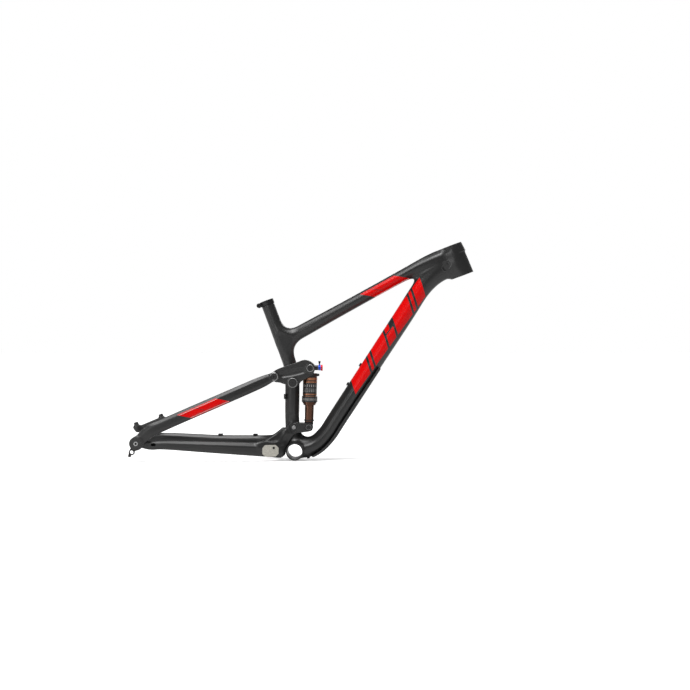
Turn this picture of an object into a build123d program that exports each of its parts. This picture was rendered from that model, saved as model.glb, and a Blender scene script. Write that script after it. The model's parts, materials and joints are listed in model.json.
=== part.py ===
from build123d import *
import math
import os

# Full-suspension mountain-bike frame with its rear shock, in millimetres.
# Origin: centre of the bottom bracket. +X forward, +Y to the rider's left, +Z up.
# The drive side is -Y. Every pivot axis is parallel to Y.

os.makedirs("parts", exist_ok=True)

# ---------------------------------------------------------------- driving dimensions
REACH = 440.8                 # bottom bracket to head tube top centre, along X
STACK = 575.8                 # bottom bracket to head tube top centre, along Z
HEAD_ANGLE = 69.5             # head tube axis above the horizontal, degrees
HEAD_LENGTH = 90.0
HEAD_TOP_R = 25.0
HEAD_BOTTOM_R = 28.5
UPPER_CUP_R = 21.0            # 42 mm integrated upper bearing seat
LOWER_CUP_R = 26.05           # 52.1 mm integrated lower bearing seat
CUP_DEPTH = 12.0
HEAD_WALL = 4.0

SEAT_ANGLE = 69.5             # upper seat tube axis above the horizontal, degrees
SEAT_TUBE_R = 18.2
SEATPOST_R = 15.8             # 31.6 mm seatpost
SEAT_NECK_R = 17.45           # 34.9 mm neck under the collar
SEAT_TOP_X = -81.0            # centre of the seat tube's open end
SEAT_TOP_Z = 420.0
SEAT_UPPER_LENGTH = 190.0

BB_BORE_R = 20.5              # 41 mm press-fit bottom bracket
BB_SHELL_R = 24.5
BB_WIDTH = 92.0

CHAINSTAY_LENGTH = 434.5      # bottom bracket centre to rear axle centre
AXLE_RISE = 25.0              # rear axle height above the bottom bracket
HUB_WIDTH = 148.0             # between the dropouts' inner faces
AXLE_R = 6.0                  # 12 mm thru-axle

MAIN_PIVOT = (-3.0, 66.0)     # X and Z of each pivot
ROCKER_PIVOT = (-6.2, 190.8)
STAY_PIVOT = (-57.4, 207.9)
SHOCK_TOP = (42.5, 231.1)
SHOCK_LENGTH = 165.0          # eye to eye, extended
SHOCK_LEAN = 1.5              # shock axis off the vertical, top forward, degrees

CARBON_WALL = 2.2             # wall of the moulded tubes
AXLE_CLEARANCE = 0.05         # running fit, radial
SIDE_CLEARANCE = 0.4          # between pieces that turn past each other, along Y
OPEN_PIVOT_GAP = 3.0          # radial room where the linkage loop is opened
PIVOT_AXLE_R = 7.45
PIVOT_BOLT_R = 4.0
BEARING_R = 12.0
BEARING_WIDTH = 7.0

FRAME_HALF = 19.7             # half width of the frame at the main pivot
MAST_HALF = 23.4              # half width of the lower seat tube at the rocker pivot
MAST_DEPTH = 39.6             # lower seat tube, fore and aft
YOKE_THICK = 8.5
ARM_THICK = 8.0
STAY_EYE_THICK = 9.6
PIVOT_EYE_R = 12.8

SEAT_SLOT = (1.2, 26.0)       # width and length of the slot that lets the collar clamp
COLLAR_HEIGHT = 13.0
COLLAR_WALL = 2.2
COLLAR_LUG_R = 6.4
COLLAR_LUG_OUT = 24.2         # clamp bolt behind the seat tube's axis
COLLAR_LUG_HALF = 11.0

DOWN_TUBE_FOOT = (150.0, 142.0)    # start and end of the straight part of the down tube
DOWN_TUBE_END = (-116.3, -34.5)    # from the bottom of the head tube
DOWN_TUBE_DEPTH = 50.0
DOWN_TUBE_WIDTH = 62.0
GUARD_THICK = 4.0
BOTTLE_SPACING = 64.0         # between the two bottle-cage bolts
BOTTLE_START = 36.0           # lower bolt, up the straight down tube from its foot
BOTTLE_BOLT_R = 2.5
BOTTLE_WASHER_R = 6.0
BOTTLE_HEAD_R = 4.75

# Sections of the moulded tubes: along, across, pitch, depth, width, corner radius.
# The top tube runs from the seat tube's axis (share 0) to the head tube's axis (share 1).
TOP_TUBE_REAR = 128.7         # below the seat tube's top
TOP_TUBE_FRONT = 73.1         # above the head tube's bottom
TOP_TUBE = [
    (-0.0129, 3.9, 29, 38.0, 28, 10), (0.137, 4.8, 29, 37.0, 37, 13), (0.369, 6.1, 29, 34.0, 38, 13),
    (0.690, 7.8, 29, 34.5, 40, 13), (0.858, 6.4, 27, 40.0, 43, 13), (0.969, -0.5, 23, 44.0, 46, 13),
]
# The down tube's bend starts at the bottom bracket, and its neck is placed from the head tube's bottom.
DOWN_TUBE_BEND = [(2, 2, 12, 36, 80, 14), (34, 7, 24, 50, 80, 17), (63, 22, 38, 51, 72, 17), (90, 50, 50, 50, 66, 17)]
DOWN_TUBE_NECK = [(-74.3, 8.5, 42.0, 58, 54, 15), (-28.3, 36.5, 20.5, 80, 48, 15)]
# Guard: the first sections follow the bend, and depth is that of the tube with the guard on both faces.
GUARD_BEND = [(40, 8, 26, 58, 60, 17), (63, 22, 38, 59, 58, 17), (90, 50, 50, 58, 56, 17)]
GUARD_LENGTH = 117.0          # of its straight part, up from the foot

DROPOUT_THICK = 6.0
DROPOUT_R = 17.0
STAY_HUB_R = 12.0             # journal on which the seatstay turns, around the axle
STAY_RING_R = 19.0
STAY_RING_THICK = 8.0
HANGER_DROP = (-12.8, -24.0)  # hanger hole from the rear axle
HANGER_R = 5.0                # M10 thread
HANGER_THICK = 7.0
BRAKE_SPACING = 74.2          # post mount
BRAKE_REAR_POST = (-23.0, 51.0)    # from the rear axle
BRAKE_LINE_ANGLE = 18.1       # post line above the horizontal, degrees
BRAKE_POST_Y = 68.0
BRAKE_THREAD_R = 3.0
BRAKE_POST_R = 6.0
BRAKE_POST_LENGTH = 14.0
BRAKE_THREAD_DEPTH = 12.0
BRAKE_INSERT_WALL = 1.2
RING_CAP_THICK = 1.6
HOSE_CLIPS = [(219.3, 63.0, 40.0), (319.3, 51.4, 40.3)]   # ahead of the axle, Y, and Z of the leg's top

# Chainstay legs: ahead of the axle, inside the hub's face, width, corner radius, share of the turn inwards.
CHAIN_LEG = [
    (15, -3.0, 6, 2.5, 1), (40, -0.2, 10, 4.0, 1), (80, 2.0, 16, 7.0, 1), (220, 11.0, 19, 8.0, 1),
    (340, 25.0, 19, 8.0, 1), (384, 34.4, 17, 8.0, 2), (397, 42.4, 15, 6.0, 3),
]
CHAIN_LEG_PITCH = [-4, -4, -3, -3, -2, -2, 10]
CHAIN_LEG_TURN = 3.8          # degrees, in plan
# Height and depth of each leg at those places. The drive-side leg runs lower, clear of the chain.
CHAIN_LEG_RIGHT = [(24.0, 21.4), (19.4, 24.4), (20.4, 25.4), (13.0, 32.4), (6.0, 37.0), (4.0, 39.0), (7.0, 31.0)]
CHAIN_LEG_LEFT = [(24.0, 23.0), (31.0, 26.0), (32.0, 27.0), (25.0, 30.0), (24.0, 33.0), (22.0, 35.0), (25.0, 27.0)]

SHOCK_EYE_R = 11.0
SHOCK_EYE_WIDTH = 25.0
CAN_R = 20.0
SLEEVE_R = 22.0
SHAFT_R = 12.5
SHAFT_CLEARANCE = 0.05
PORT_OUT = 25.6               # outer face of each cable port, from the frame's middle plane
PORT_IN = 17.0

# ---------------------------------------------------------------- derived places
head_rad = math.radians(HEAD_ANGLE)
seat_rad = math.radians(SEAT_ANGLE)
lean = math.radians(SHOCK_LEAN)
AXLE = (-math.sqrt(CHAINSTAY_LENGTH**2 - AXLE_RISE**2), AXLE_RISE)
HEAD_UP = (-math.cos(head_rad), math.sin(head_rad))
HEAD_BOTTOM = (REACH - HEAD_LENGTH * HEAD_UP[0], STACK - HEAD_LENGTH * HEAD_UP[1])
SEAT_UP = (-math.cos(seat_rad), math.sin(seat_rad))
SHOCK_DOWN = (-math.sin(lean), -math.cos(lean))
SHOCK_BOTTOM = (SHOCK_TOP[0] + SHOCK_LENGTH * SHOCK_DOWN[0],
                SHOCK_TOP[1] + SHOCK_LENGTH * SHOCK_DOWN[1])
HUB_HALF = HUB_WIDTH / 2
MAST_X = MAIN_PIVOT[0] - 5.4     # middle of the lower seat tube
YOKE_IN = FRAME_HALF + SIDE_CLEARANCE
YOKE_OUT = YOKE_IN + YOKE_THICK
ARM_IN = MAST_HALF + SIDE_CLEARANCE
ARM_OUT = ARM_IN + ARM_THICK
STAY_IN = ARM_OUT + SIDE_CLEARANCE
STAY_OUT = STAY_IN + STAY_EYE_THICK
BOTH_SIDES = (-1, 1)             # drive side first
DOWN_TUBE_TOP = (HEAD_BOTTOM[0] + DOWN_TUBE_END[0], HEAD_BOTTOM[1] + DOWN_TUBE_END[1])
DOWN_TUBE_RUN = math.dist(DOWN_TUBE_FOOT, DOWN_TUBE_TOP)
DOWN_TUBE_DIR = ((DOWN_TUBE_TOP[0] - DOWN_TUBE_FOOT[0]) / DOWN_TUBE_RUN,
                 (DOWN_TUBE_TOP[1] - DOWN_TUBE_FOOT[1]) / DOWN_TUBE_RUN)
DOWN_TUBE_SLOPE = math.degrees(math.atan2(DOWN_TUBE_DIR[1], DOWN_TUBE_DIR[0]))


# ---------------------------------------------------------------- helpers
def save(name, *shapes):
    """Write one node: every separate solid of the given shapes."""
    solids = []
    for shape in shapes:
        solids += list(shape.solids())
    export_step(Compound(children=solids), f"parts/{name}.step")


def largest(shape):
    """The main solid, without the crumbs that a mitre cut leaves."""
    return max(shape.solids(), key=lambda solid: solid.volume)


def disc(at, radius, y0, y1):
    """Cylinder along Y, centred on at = (x, z), from y0 to y1."""
    low, high = min(y0, y1), max(y0, y1)
    face = Plane(origin=(at[0], low, at[1]), x_dir=(1, 0, 0), z_dir=(0, 1, 0))
    return face * Cylinder(radius, high - low, align=(Align.CENTER, Align.CENTER, Align.MIN))


def ring(at, outer, inner, y0, y1):
    """Washer along Y."""
    return disc(at, outer, y0, y1) - disc(at, inner, min(y0, y1) - 1, max(y0, y1) + 1)


def along(start, direction, y=0.0):
    """Plane at start = (x, z) whose normal is direction, in the XZ plane."""
    return Plane(origin=(start[0], y, start[1]), x_dir=(0, 1, 0), z_dir=(direction[0], 0, direction[1]))


def rod(start, direction, radius, s0, s1, y=0.0):
    """Cylinder along direction, between distances s0 and s1 from start."""
    at = (start[0] + s0 * direction[0], start[1] + s0 * direction[1])
    return along(at, direction, y) * Cylinder(radius, s1 - s0, align=(Align.CENTER, Align.CENTER, Align.MIN))


def section(x, z, pitch, depth, width, corner, y=0.0, yaw=0.0):
    """Rounded section of a member that climbs at pitch and veers at yaw, in degrees."""
    p, w = math.radians(pitch), math.radians(yaw)
    normal = (math.cos(p) * math.cos(w), math.sin(w), math.sin(p) * math.cos(w))
    up = (-math.sin(p), 0, math.cos(p))
    plane = Plane(origin=(x, y, z), x_dir=up, z_dir=normal)
    return plane * RectangleRounded(depth, width, corner)


def member(stations):
    """Solid member through sections (x, z, pitch, depth, width, corner[, y, yaw])."""
    return loft([section(*s) for s in stations], ruled=True)


def hollow(stations, wall):
    """The same member with a wall; both ends are open."""
    inner = [(s[0], s[1], s[2], s[3] - 2 * wall, s[4] - 2 * wall, s[5] - wall) + tuple(s[6:])
             for s in stations]
    return member(stations) - member(inner)


def hex_socket(at, across, y_face, depth, side):
    """Hexagonal pocket sunk from y_face towards the frame's middle."""
    y0 = y_face - side * depth
    plane = Plane(origin=(at[0], y_face, at[1]), x_dir=(1, 0, 0), z_dir=(0, -side, 0))
    return plane * extrude(RegularPolygon(across / 2, 6, major_radius=False), abs(y_face - y0))


def plate(outline, y0, y1, corner=0.0):
    """Flat plate between y0 and y1 with an outline of (x, z) points."""
    points = [(x, z) for x, z in outline]
    face = make_face(Polyline(*points, close=True))
    if corner:
        face = fillet(face.vertices(), corner)
    low, high = min(y0, y1), max(y0, y1)
    plane = Plane(origin=(0, high, 0), x_dir=(1, 0, 0), z_dir=(0, -1, 0))
    return plane * extrude(face, high - low)


# ---------------------------------------------------------------- front triangle
def build_head_tube():
    frame = along(HEAD_BOTTOM, HEAD_UP)
    from_base = (Align.CENTER, Align.CENTER, Align.MIN)
    outer = Cone(HEAD_BOTTOM_R, HEAD_TOP_R, HEAD_LENGTH, align=from_base)
    middle = HEAD_LENGTH - 2 * CUP_DEPTH
    core = Cone(HEAD_BOTTOM_R - HEAD_WALL, HEAD_TOP_R - HEAD_WALL - 2, middle, align=from_base)
    lower_cup = Cylinder(LOWER_CUP_R, CUP_DEPTH, align=from_base)
    upper_cup = Pos(0, 0, HEAD_LENGTH - CUP_DEPTH) * Cylinder(UPPER_CUP_R, CUP_DEPTH, align=from_base)
    tube = outer - lower_cup - upper_cup - Pos(0, 0, CUP_DEPTH) * core
    return frame * tube, frame * outer


def build_seat_tubes():
    top = (SEAT_TOP_X, SEAT_TOP_Z)
    down = (-SEAT_UP[0], -SEAT_UP[1])
    neck = 14.0
    upper_solid = rod(top, down, SEAT_TUBE_R, neck, SEAT_UPPER_LENGTH) + rod(top, down, SEAT_NECK_R, 0, neck)
    upper = upper_solid - rod(top, down, SEATPOST_R, -1, SEAT_UPPER_LENGTH + 1)
    slot_width, slot_length = SEAT_SLOT
    slot = along((top[0] + COLLAR_HEIGHT * down[0], top[1] + COLLAR_HEIGHT * down[1]), down)
    slot = slot * Box(slot_width, 2 * SEAT_TUBE_R, slot_length)
    rear_only = Pos(top[0] - 40, 0, top[1] - 40) * Box(80, 40, 120)
    upper -= slot & rear_only
    join_x = SEAT_TOP_X + SEAT_UPPER_LENGTH * down[0]
    join_z = SEAT_TOP_Z + SEAT_UPPER_LENGTH * down[1]
    round_size = 2 * SEAT_TUBE_R
    stations = [
        (MAST_X + 4, 14, 90, 42, 2 * FRAME_HALF, 10),
        (MAST_X, MAIN_PIVOT[1] + 26, 90, MAST_DEPTH, 2 * FRAME_HALF, 10),
        (MAST_X, MAIN_PIVOT[1] + 50, 90, MAST_DEPTH, 2 * MAST_HALF, 11),
        (MAST_X, ROCKER_PIVOT[1] + 16, 90, MAST_DEPTH, 2 * MAST_HALF, 11),
        (join_x, join_z, 180 - SEAT_ANGLE, round_size, round_size, round_size / 2 - 0.4),
    ]
    return upper, upper_solid, hollow(stations, CARBON_WALL), member(stations)


def build_front_triangle():
    head, head_solid = build_head_tube()
    upper, upper_solid, mast, mast_solid = build_seat_tubes()
    shell_solid = disc((0, 0), BB_SHELL_R, -BB_WIDTH / 2, BB_WIDTH / 2)
    shell = shell_solid - disc((0, 0), BB_BORE_R, -BB_WIDTH, BB_WIDTH)
    main_boss_solid = disc(MAIN_PIVOT, BEARING_R + 3.5, -FRAME_HALF, FRAME_HALF)
    main_boss = main_boss_solid - disc(MAIN_PIVOT, BEARING_R - 2, -BB_WIDTH, BB_WIDTH)
    rocker_boss_solid = disc(ROCKER_PIVOT, BEARING_R, -MAST_HALF, MAST_HALF)
    rocker_boss = rocker_boss_solid - disc(ROCKER_PIVOT, PIVOT_AXLE_R, -BB_WIDTH, BB_WIDTH)
    for side in BOTH_SIDES:
        seat_in = side * (FRAME_HALF - BEARING_WIDTH)
        main_boss -= disc(MAIN_PIVOT, BEARING_R, seat_in, side * BB_WIDTH)
    top_tube = top_tube_stations()
    down_solid = member(down_tube_stations())
    above_head = rod(HEAD_BOTTOM, HEAD_UP, HEAD_BOTTOM_R, HEAD_LENGTH, HEAD_LENGTH + CUP_DEPTH)
    mast_rear = MAST_X - MAST_DEPTH / 2
    top = hollow(top_tube, CARBON_WALL) - head_solid - above_head - upper_solid - mast_solid
    down = hollow(down_tube_stations(), CARBON_WALL) - head_solid - shell_solid - mast_solid - member(top_tube)
    mast = mast - shell_solid - main_boss_solid - rocker_boss_solid
    for hole in bottle_holes():
        down -= hole
    for side in BOTH_SIDES:
        hole = cable_port(side, PORT_OUT + 10, PORT_IN)
        top -= hole
        down -= hole
    save("head_tube", head)
    save("top_tube", largest(top))
    save("down_tube", largest(down))
    save("seat_tube", upper)
    save("seat_mast", largest(mast))
    save("bottom_bracket_shell", shell)
    save("main_pivot_boss", main_boss)
    save("rocker_pivot_boss", rocker_boss)
    save("down_tube_guard", build_down_tube_guard(down_solid, shell_solid))
    block = Pos(mast_rear + 2.0, -10.0, MAIN_PIVOT[1] + 86.0) * Box(10.0, 13.0, 14.0)
    save("mast_cable_port", largest(block - mast_solid))
    nib = rod((35.0, -12.0), (0.25, -0.97), 4.0, 0, 10.0)
    save("lower_cable_exit", largest(nib - down_solid))


def on_down_tube(s):
    """Point on the straight part of the down tube, s up from its foot."""
    return (DOWN_TUBE_FOOT[0] + s * DOWN_TUBE_DIR[0], DOWN_TUBE_FOOT[1] + s * DOWN_TUBE_DIR[1])


def top_tube_stations():
    rear = (SEAT_TOP_X - TOP_TUBE_REAR * SEAT_UP[0], SEAT_TOP_Z - TOP_TUBE_REAR * SEAT_UP[1])
    front = (HEAD_BOTTOM[0] + TOP_TUBE_FRONT * HEAD_UP[0], HEAD_BOTTOM[1] + TOP_TUBE_FRONT * HEAD_UP[1])
    run, rise = front[0] - rear[0], front[1] - rear[1]
    chord = math.hypot(run, rise)
    return [(rear[0] + share * run - lift * rise / chord, rear[1] + share * rise + lift * run / chord) + tuple(rest)
            for share, lift, *rest in TOP_TUBE]


def down_tube_stations():
    before = -72.0            # last section of the bend, back from the foot
    late = 0.708 * DOWN_TUBE_RUN
    straight = [
        (*on_down_tube(before), DOWN_TUBE_SLOPE, DOWN_TUBE_DEPTH, DOWN_TUBE_WIDTH + 2, 17),
        (*DOWN_TUBE_FOOT, DOWN_TUBE_SLOPE, DOWN_TUBE_DEPTH, DOWN_TUBE_WIDTH, 17),
        (*on_down_tube(late), DOWN_TUBE_SLOPE, DOWN_TUBE_DEPTH + 2, DOWN_TUBE_WIDTH - 2, 17),
        (*DOWN_TUBE_TOP, DOWN_TUBE_SLOPE, DOWN_TUBE_DEPTH + 2, DOWN_TUBE_WIDTH - 4, 17),
    ]
    neck = [(HEAD_BOTTOM[0] + s[0], HEAD_BOTTOM[1] + s[1]) + s[2:] for s in DOWN_TUBE_NECK]
    return DOWN_TUBE_BEND + straight + neck


def build_down_tube_guard(down_solid, shell_solid):
    """Moulded plastic shield on the underside of the down tube, behind the front wheel."""
    depth = DOWN_TUBE_DEPTH + 2 * GUARD_THICK
    spine = GUARD_BEND + [
        (*on_down_tube(-72.0), DOWN_TUBE_SLOPE, depth, 54, 17),
        (*DOWN_TUBE_FOOT, DOWN_TUBE_SLOPE, depth, 52, 17),
        (*on_down_tube(GUARD_LENGTH), DOWN_TUBE_SLOPE, depth - 1, 48, 17),
    ]
    keep = []
    for x, z, pitch, depth, width, corner in spine:
        p = math.radians(pitch)
        out = depth / 4 + GUARD_THICK / 2
        at = (x + out * math.sin(p), z - out * math.cos(p))
        keep.append((*at, pitch, depth / 2 - 6, width + 20, 3))
    return (member(spine) & member(keep)) - down_solid - shell_solid


def bottle_feet():
    """Where the two bottle bolts meet the down tube's upper face, and the way out."""
    out = (-DOWN_TUBE_DIR[1], DOWN_TUBE_DIR[0])
    face = DOWN_TUBE_DEPTH / 2 + 0.2
    feet = []
    for s in (BOTTLE_START, BOTTLE_START + BOTTLE_SPACING):
        x, z = on_down_tube(s)
        feet.append((x + face * out[0], z + face * out[1]))
    return feet, out


def bottle_holes():
    feet, out = bottle_feet()
    return [rod(foot, out, BOTTLE_BOLT_R, -9.0, 9.0) for foot in feet]


def build_bottle_bolts():
    """Two button-head bolts, each with a washer, on the down tube's upper face."""
    feet, out = bottle_feet()
    bolts = []
    for foot in feet:
        washer = rod(foot, out, BOTTLE_WASHER_R, 0.4, 1.8)
        button = rod(foot, out, BOTTLE_HEAD_R, 1.8, 4.4) - rod(foot, out, 1.5, 3.0, 5.0)
        shank = rod(foot, out, BOTTLE_BOLT_R, -8.0, 0.4)
        bolts.append(washer + button + shank)
    return bolts


def cable_port(side, y_out, y_in):
    """Stadium-shaped plug behind the head tube on one side, between two distances from the middle."""
    centre = (REACH - 19.0, STACK - 60.0)
    lean_up = 62.0
    plane = Plane(origin=(centre[0], side * y_out, centre[1]), x_dir=(1, 0, 0), z_dir=(0, -side, 0))
    outline = Rot(0, 0, -side * lean_up) * SlotOverall(32.0, 18.0)
    return plane * extrude(outline, y_out - y_in)


def build_cable_ports():
    """Rubber plugs, each with a hole for one hose."""
    hose_at = (REACH - 15.0, STACK - 53.0)
    return [cable_port(side, PORT_OUT, PORT_IN) - disc(hose_at, 4.0, 0, side * 60)
            for side in BOTH_SIDES]


def build_seat_clamp():
    """Split collar at the top of the seat tube, with its lugs at the rear."""
    top = (SEAT_TOP_X, SEAT_TOP_Z)
    down = (-SEAT_UP[0], -SEAT_UP[1])
    height, half = COLLAR_HEIGHT, COLLAR_LUG_HALF
    shank_r, head_r, head_height, nut_height, slit_width = 2.5, 4.2, 4.5, 3.0, 2.4
    mid = (top[0] + height / 2 * down[0], top[1] + height / 2 * down[1])
    back = (-math.sin(seat_rad), -math.cos(seat_rad))
    bolt_at = (mid[0] + COLLAR_LUG_OUT * back[0], mid[1] + COLLAR_LUG_OUT * back[1])
    web_out = (SEAT_NECK_R + COLLAR_LUG_OUT) / 2 - 1.3
    web_plane = Plane(origin=(mid[0] + web_out * back[0], 0, mid[1] + web_out * back[1]),
                      x_dir=(back[0], 0, back[1]), z_dir=(0, 1, 0))
    lug = disc(bolt_at, COLLAR_LUG_R, -half, half) + web_plane * Box(9, height - 2, 2 * half)
    slit = web_plane * Box(26, 30, slit_width)
    band = rod(top, down, SEAT_NECK_R + COLLAR_WALL, 0, height)
    collar = band + lug - rod(top, down, SEAT_NECK_R, -1, height + 1) - slit
    collar -= disc(bolt_at, shank_r, -2 * half, 2 * half)
    head_face = -half - head_height
    bolt = disc(bolt_at, shank_r, -half, half + 1) + disc(bolt_at, head_r, head_face, -half)
    bolt -= hex_socket(bolt_at, 4.0, head_face, 3.0, -1)
    nut = ring(bolt_at, head_r, shank_r, half, half + nut_height)
    return largest(collar), bolt, nut


# ---------------------------------------------------------------- chainstay body
def yoke_outline():
    """Side view of one yoke plate, clockwise from the shock end."""
    px, pz = MAIN_PIVOT
    sx, sz = SHOCK_BOTTOM
    return [
        (sx + 9.5, sz + 4), (sx + 2, sz + 10), (px + 16, pz + 10.5), (px - 5, pz + 10.5),
        (px - 17, pz + 2), (px - 26, pz - 20), (px - 37, pz - 40), (px - 50, pz - 46),
        (px - 50, pz - 70), (px - 38, pz - 78), (px - 27, pz - 62), (px - 15, pz - 40),
        (px + 1, pz - 16), (px + 20, pz - 13), (sx + 3, sz - 9.5), (sx + 9.5, sz - 5),
    ]


def build_yoke():
    """Two side plates with a bridge behind the seat tube, and bores for both shock and pivot."""
    yoke = None
    for side in BOTH_SIDES:
        half = plate(yoke_outline(), side * YOKE_IN, side * YOKE_OUT, 3.0)
        half -= disc(MAIN_PIVOT, PIVOT_AXLE_R, 0, side * 60)
        half -= disc(SHOCK_BOTTOM, PIVOT_BOLT_R, 0, side * 60)
        yoke = half if yoke is None else yoke + half
    bridge_at = (MAIN_PIVOT[0] - 44, MAIN_PIVOT[1] - 54)
    return yoke + disc(bridge_at, 9.0, -YOKE_IN, YOKE_IN)


def build_chainstay_leg(side, heights):
    """Hollow leg from the yoke to a dropout."""
    stations = []
    for place, (z, depth), pitch in zip(CHAIN_LEG, heights, CHAIN_LEG_PITCH):
        ahead, inside, width, corner, turn = place
        y = side * (HUB_HALF - inside)
        stations.append((AXLE[0] + ahead, AXLE[1] - AXLE_RISE + z, pitch, depth, width, corner, y,
                         -side * turn * CHAIN_LEG_TURN))
    inner = [(s[0], s[1], s[2], s[3] - 2 * CARBON_WALL, s[4] - 2 * CARBON_WALL, s[5] - CARBON_WALL) + s[6:]
             for s in stations[2:6]]
    return member(stations) - member(inner)


def build_dropout(side):
    """Dropout plate with the journal that carries the seatstay ring."""
    inner, outer = side * HUB_HALF, side * (HUB_HALF + DROPOUT_THICK)
    journal = side * (HUB_HALF + DROPOUT_THICK + 2 * SIDE_CLEARANCE + STAY_RING_THICK)
    body = disc(AXLE, DROPOUT_R, inner, outer)
    body += disc(AXLE, STAY_HUB_R - AXLE_CLEARANCE, outer, journal)
    return body - disc(AXLE, AXLE_R, 0, side * 120)


def build_hanger():
    """Replaceable derailleur hanger on the drive-side dropout's inner face edge."""
    hole = (AXLE[0] + HANGER_DROP[0], AXLE[1] + HANGER_DROP[1])
    y1 = -(HUB_HALF + DROPOUT_THICK)
    y0 = y1 + HANGER_THICK
    neck = [
        (AXLE[0] - 16, AXLE[1] - 13), (AXLE[0] + 2, AXLE[1] - 19),
        (hole[0] + 8, hole[1] + 2), (hole[0] - 7, hole[1] + 3),
    ]
    stop = [
        (hole[0] - 1, hole[1] - 5), (hole[0] - 3, hole[1] - 14),
        (hole[0] - 10, hole[1] - 12), (hole[0] - 8, hole[1] - 2),
    ]
    body = disc(hole, HANGER_R + 3.2, y0, y1) + plate(neck, y0, y1) + plate(stop, y0, y1)
    body -= disc(AXLE, DROPOUT_R, y0 + 20, y1 - 20) + disc(AXLE, DROPOUT_R + SIDE_CLEARANCE, y0 + 20, -HUB_HALF)
    return body - disc(hole, HANGER_R, 0, -120)


def build_chain_plate(leg):
    """Thin metal plate on the outer face of the drive-side leg, beside the chainring."""
    yaw = math.radians(12.0)
    outward = (math.sin(yaw), -math.cos(yaw), 0)
    x = AXLE[0] + 367.0
    y = -(HUB_HALF - 20.6)
    face = Plane(origin=(x, y, 3.2), x_dir=(math.cos(yaw), math.sin(yaw), 0), z_dir=outward)
    outline = chamfer(Rectangle(45, 32).vertices(), 8.0)
    slab = face * (Pos(0, 0, -4) * extrude(outline, 5.4)) - leg
    screw = face * (Pos(9, 8, 1.4) * Cylinder(3.4, 1.6, align=(Align.CENTER, Align.CENTER, Align.MIN)))
    return largest(slab), screw


def build_hose_clips(leg):
    """Two guides for the brake hose on top of the left leg."""
    clips = []
    hose_r = 2.6
    for ahead, y, top in HOSE_CLIPS:
        x = AXLE[0] + ahead
        block = Pos(x, y, top) * Box(13, 10, 8) - rod((x - 10, top + 3.6), (1, 0), hose_r, 0, 20, y)
        clips.append(largest(block - leg))
    return clips


def build_chainstay():
    yoke = build_yoke()
    right_leg = build_chainstay_leg(-1, CHAIN_LEG_RIGHT)
    left_leg = build_chainstay_leg(1, CHAIN_LEG_LEFT)
    drop_right, drop_left = build_dropout(-1), build_dropout(1)
    around_dropout = disc(AXLE, DROPOUT_R, -BB_WIDTH * 2, BB_WIDTH * 2)
    save("chainstay_yoke", yoke)
    save("chainstay_right", largest(right_leg - around_dropout - yoke))
    save("chainstay_left", largest(left_leg - around_dropout - yoke))
    save("dropout_right", drop_right)
    save("dropout_left", drop_left)
    save("derailleur_hanger", largest(build_hanger()))
    plate_piece, screw = build_chain_plate(right_leg)
    save("chain_plate", plate_piece)
    save("chain_plate_screw", screw)
    save("hose_clips", *build_hose_clips(left_leg))


# ---------------------------------------------------------------- seatstay body
def build_seatstay_leg(side):
    """Leg from the rocker eye to the ring around the rear axle."""
    ring_in = HUB_HALF + DROPOUT_THICK + SIDE_CLEARANCE
    ring_out = ring_in + STAY_RING_THICK
    ring_y = side * (ring_in + STAY_RING_THICK / 2)
    eye_y = side * (STAY_IN + STAY_OUT) / 2
    x0, z0 = AXLE
    x1, z1 = STAY_PIVOT
    slope = (z1 - z0 - 34) / (x1 - x0 - 34)
    pitch = math.degrees(math.atan(slope))

    def at(x, y, depth, width, corner):
        return (x, z1 + (x - x1) * slope, pitch, depth, width, corner, side * y, -side * 7)

    stations = [
        (x0 + 6, z0 + 6, 45, 30, STAY_RING_THICK, 3, ring_y),
        (x0 + 22, z0 + 22, 45, 34, STAY_RING_THICK, 3, ring_y),
        (x0 + 40, z0 + 36, 28, 36, 11, 4.5, side * 82, -side * 7),
        at(x0 + 74, 76, 34, 16, 7),
        at(x0 + 214, 60, 33, 17, 7.5),
        at(x1 - 46, 43.5, 32, 14, 6),
        (x1 - 8, z1 - 3, 20, 24, STAY_EYE_THICK, 4, eye_y),
    ]
    core = [(s[0], s[1], s[2], s[3] - 2 * CARBON_WALL, s[4] - 2 * CARBON_WALL, s[5] - CARBON_WALL) + s[6:]
            for s in stations[3:6]]
    leg = member(stations) - member(core)
    leg += disc(AXLE, STAY_RING_R, side * ring_in, side * ring_out)
    leg += disc(STAY_PIVOT, PIVOT_EYE_R, side * STAY_IN, side * STAY_OUT)
    leg -= disc(AXLE, STAY_HUB_R, side * 60, side * 120)
    leg -= disc(STAY_PIVOT, PIVOT_BOLT_R, side * 10, side * 90)
    return leg


def brake_posts():
    """Foot of each brake post, and the way the posts point."""
    angle = math.radians(BRAKE_LINE_ANGLE)
    up = (-math.sin(angle), math.cos(angle))
    line = (math.cos(angle), math.sin(angle))
    rear = (AXLE[0] + BRAKE_REAR_POST[0], AXLE[1] + BRAKE_REAR_POST[1])
    front = (rear[0] + BRAKE_SPACING * line[0], rear[1] + BRAKE_SPACING * line[1])
    return [rear, front], (-up[0], -up[1])


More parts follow.
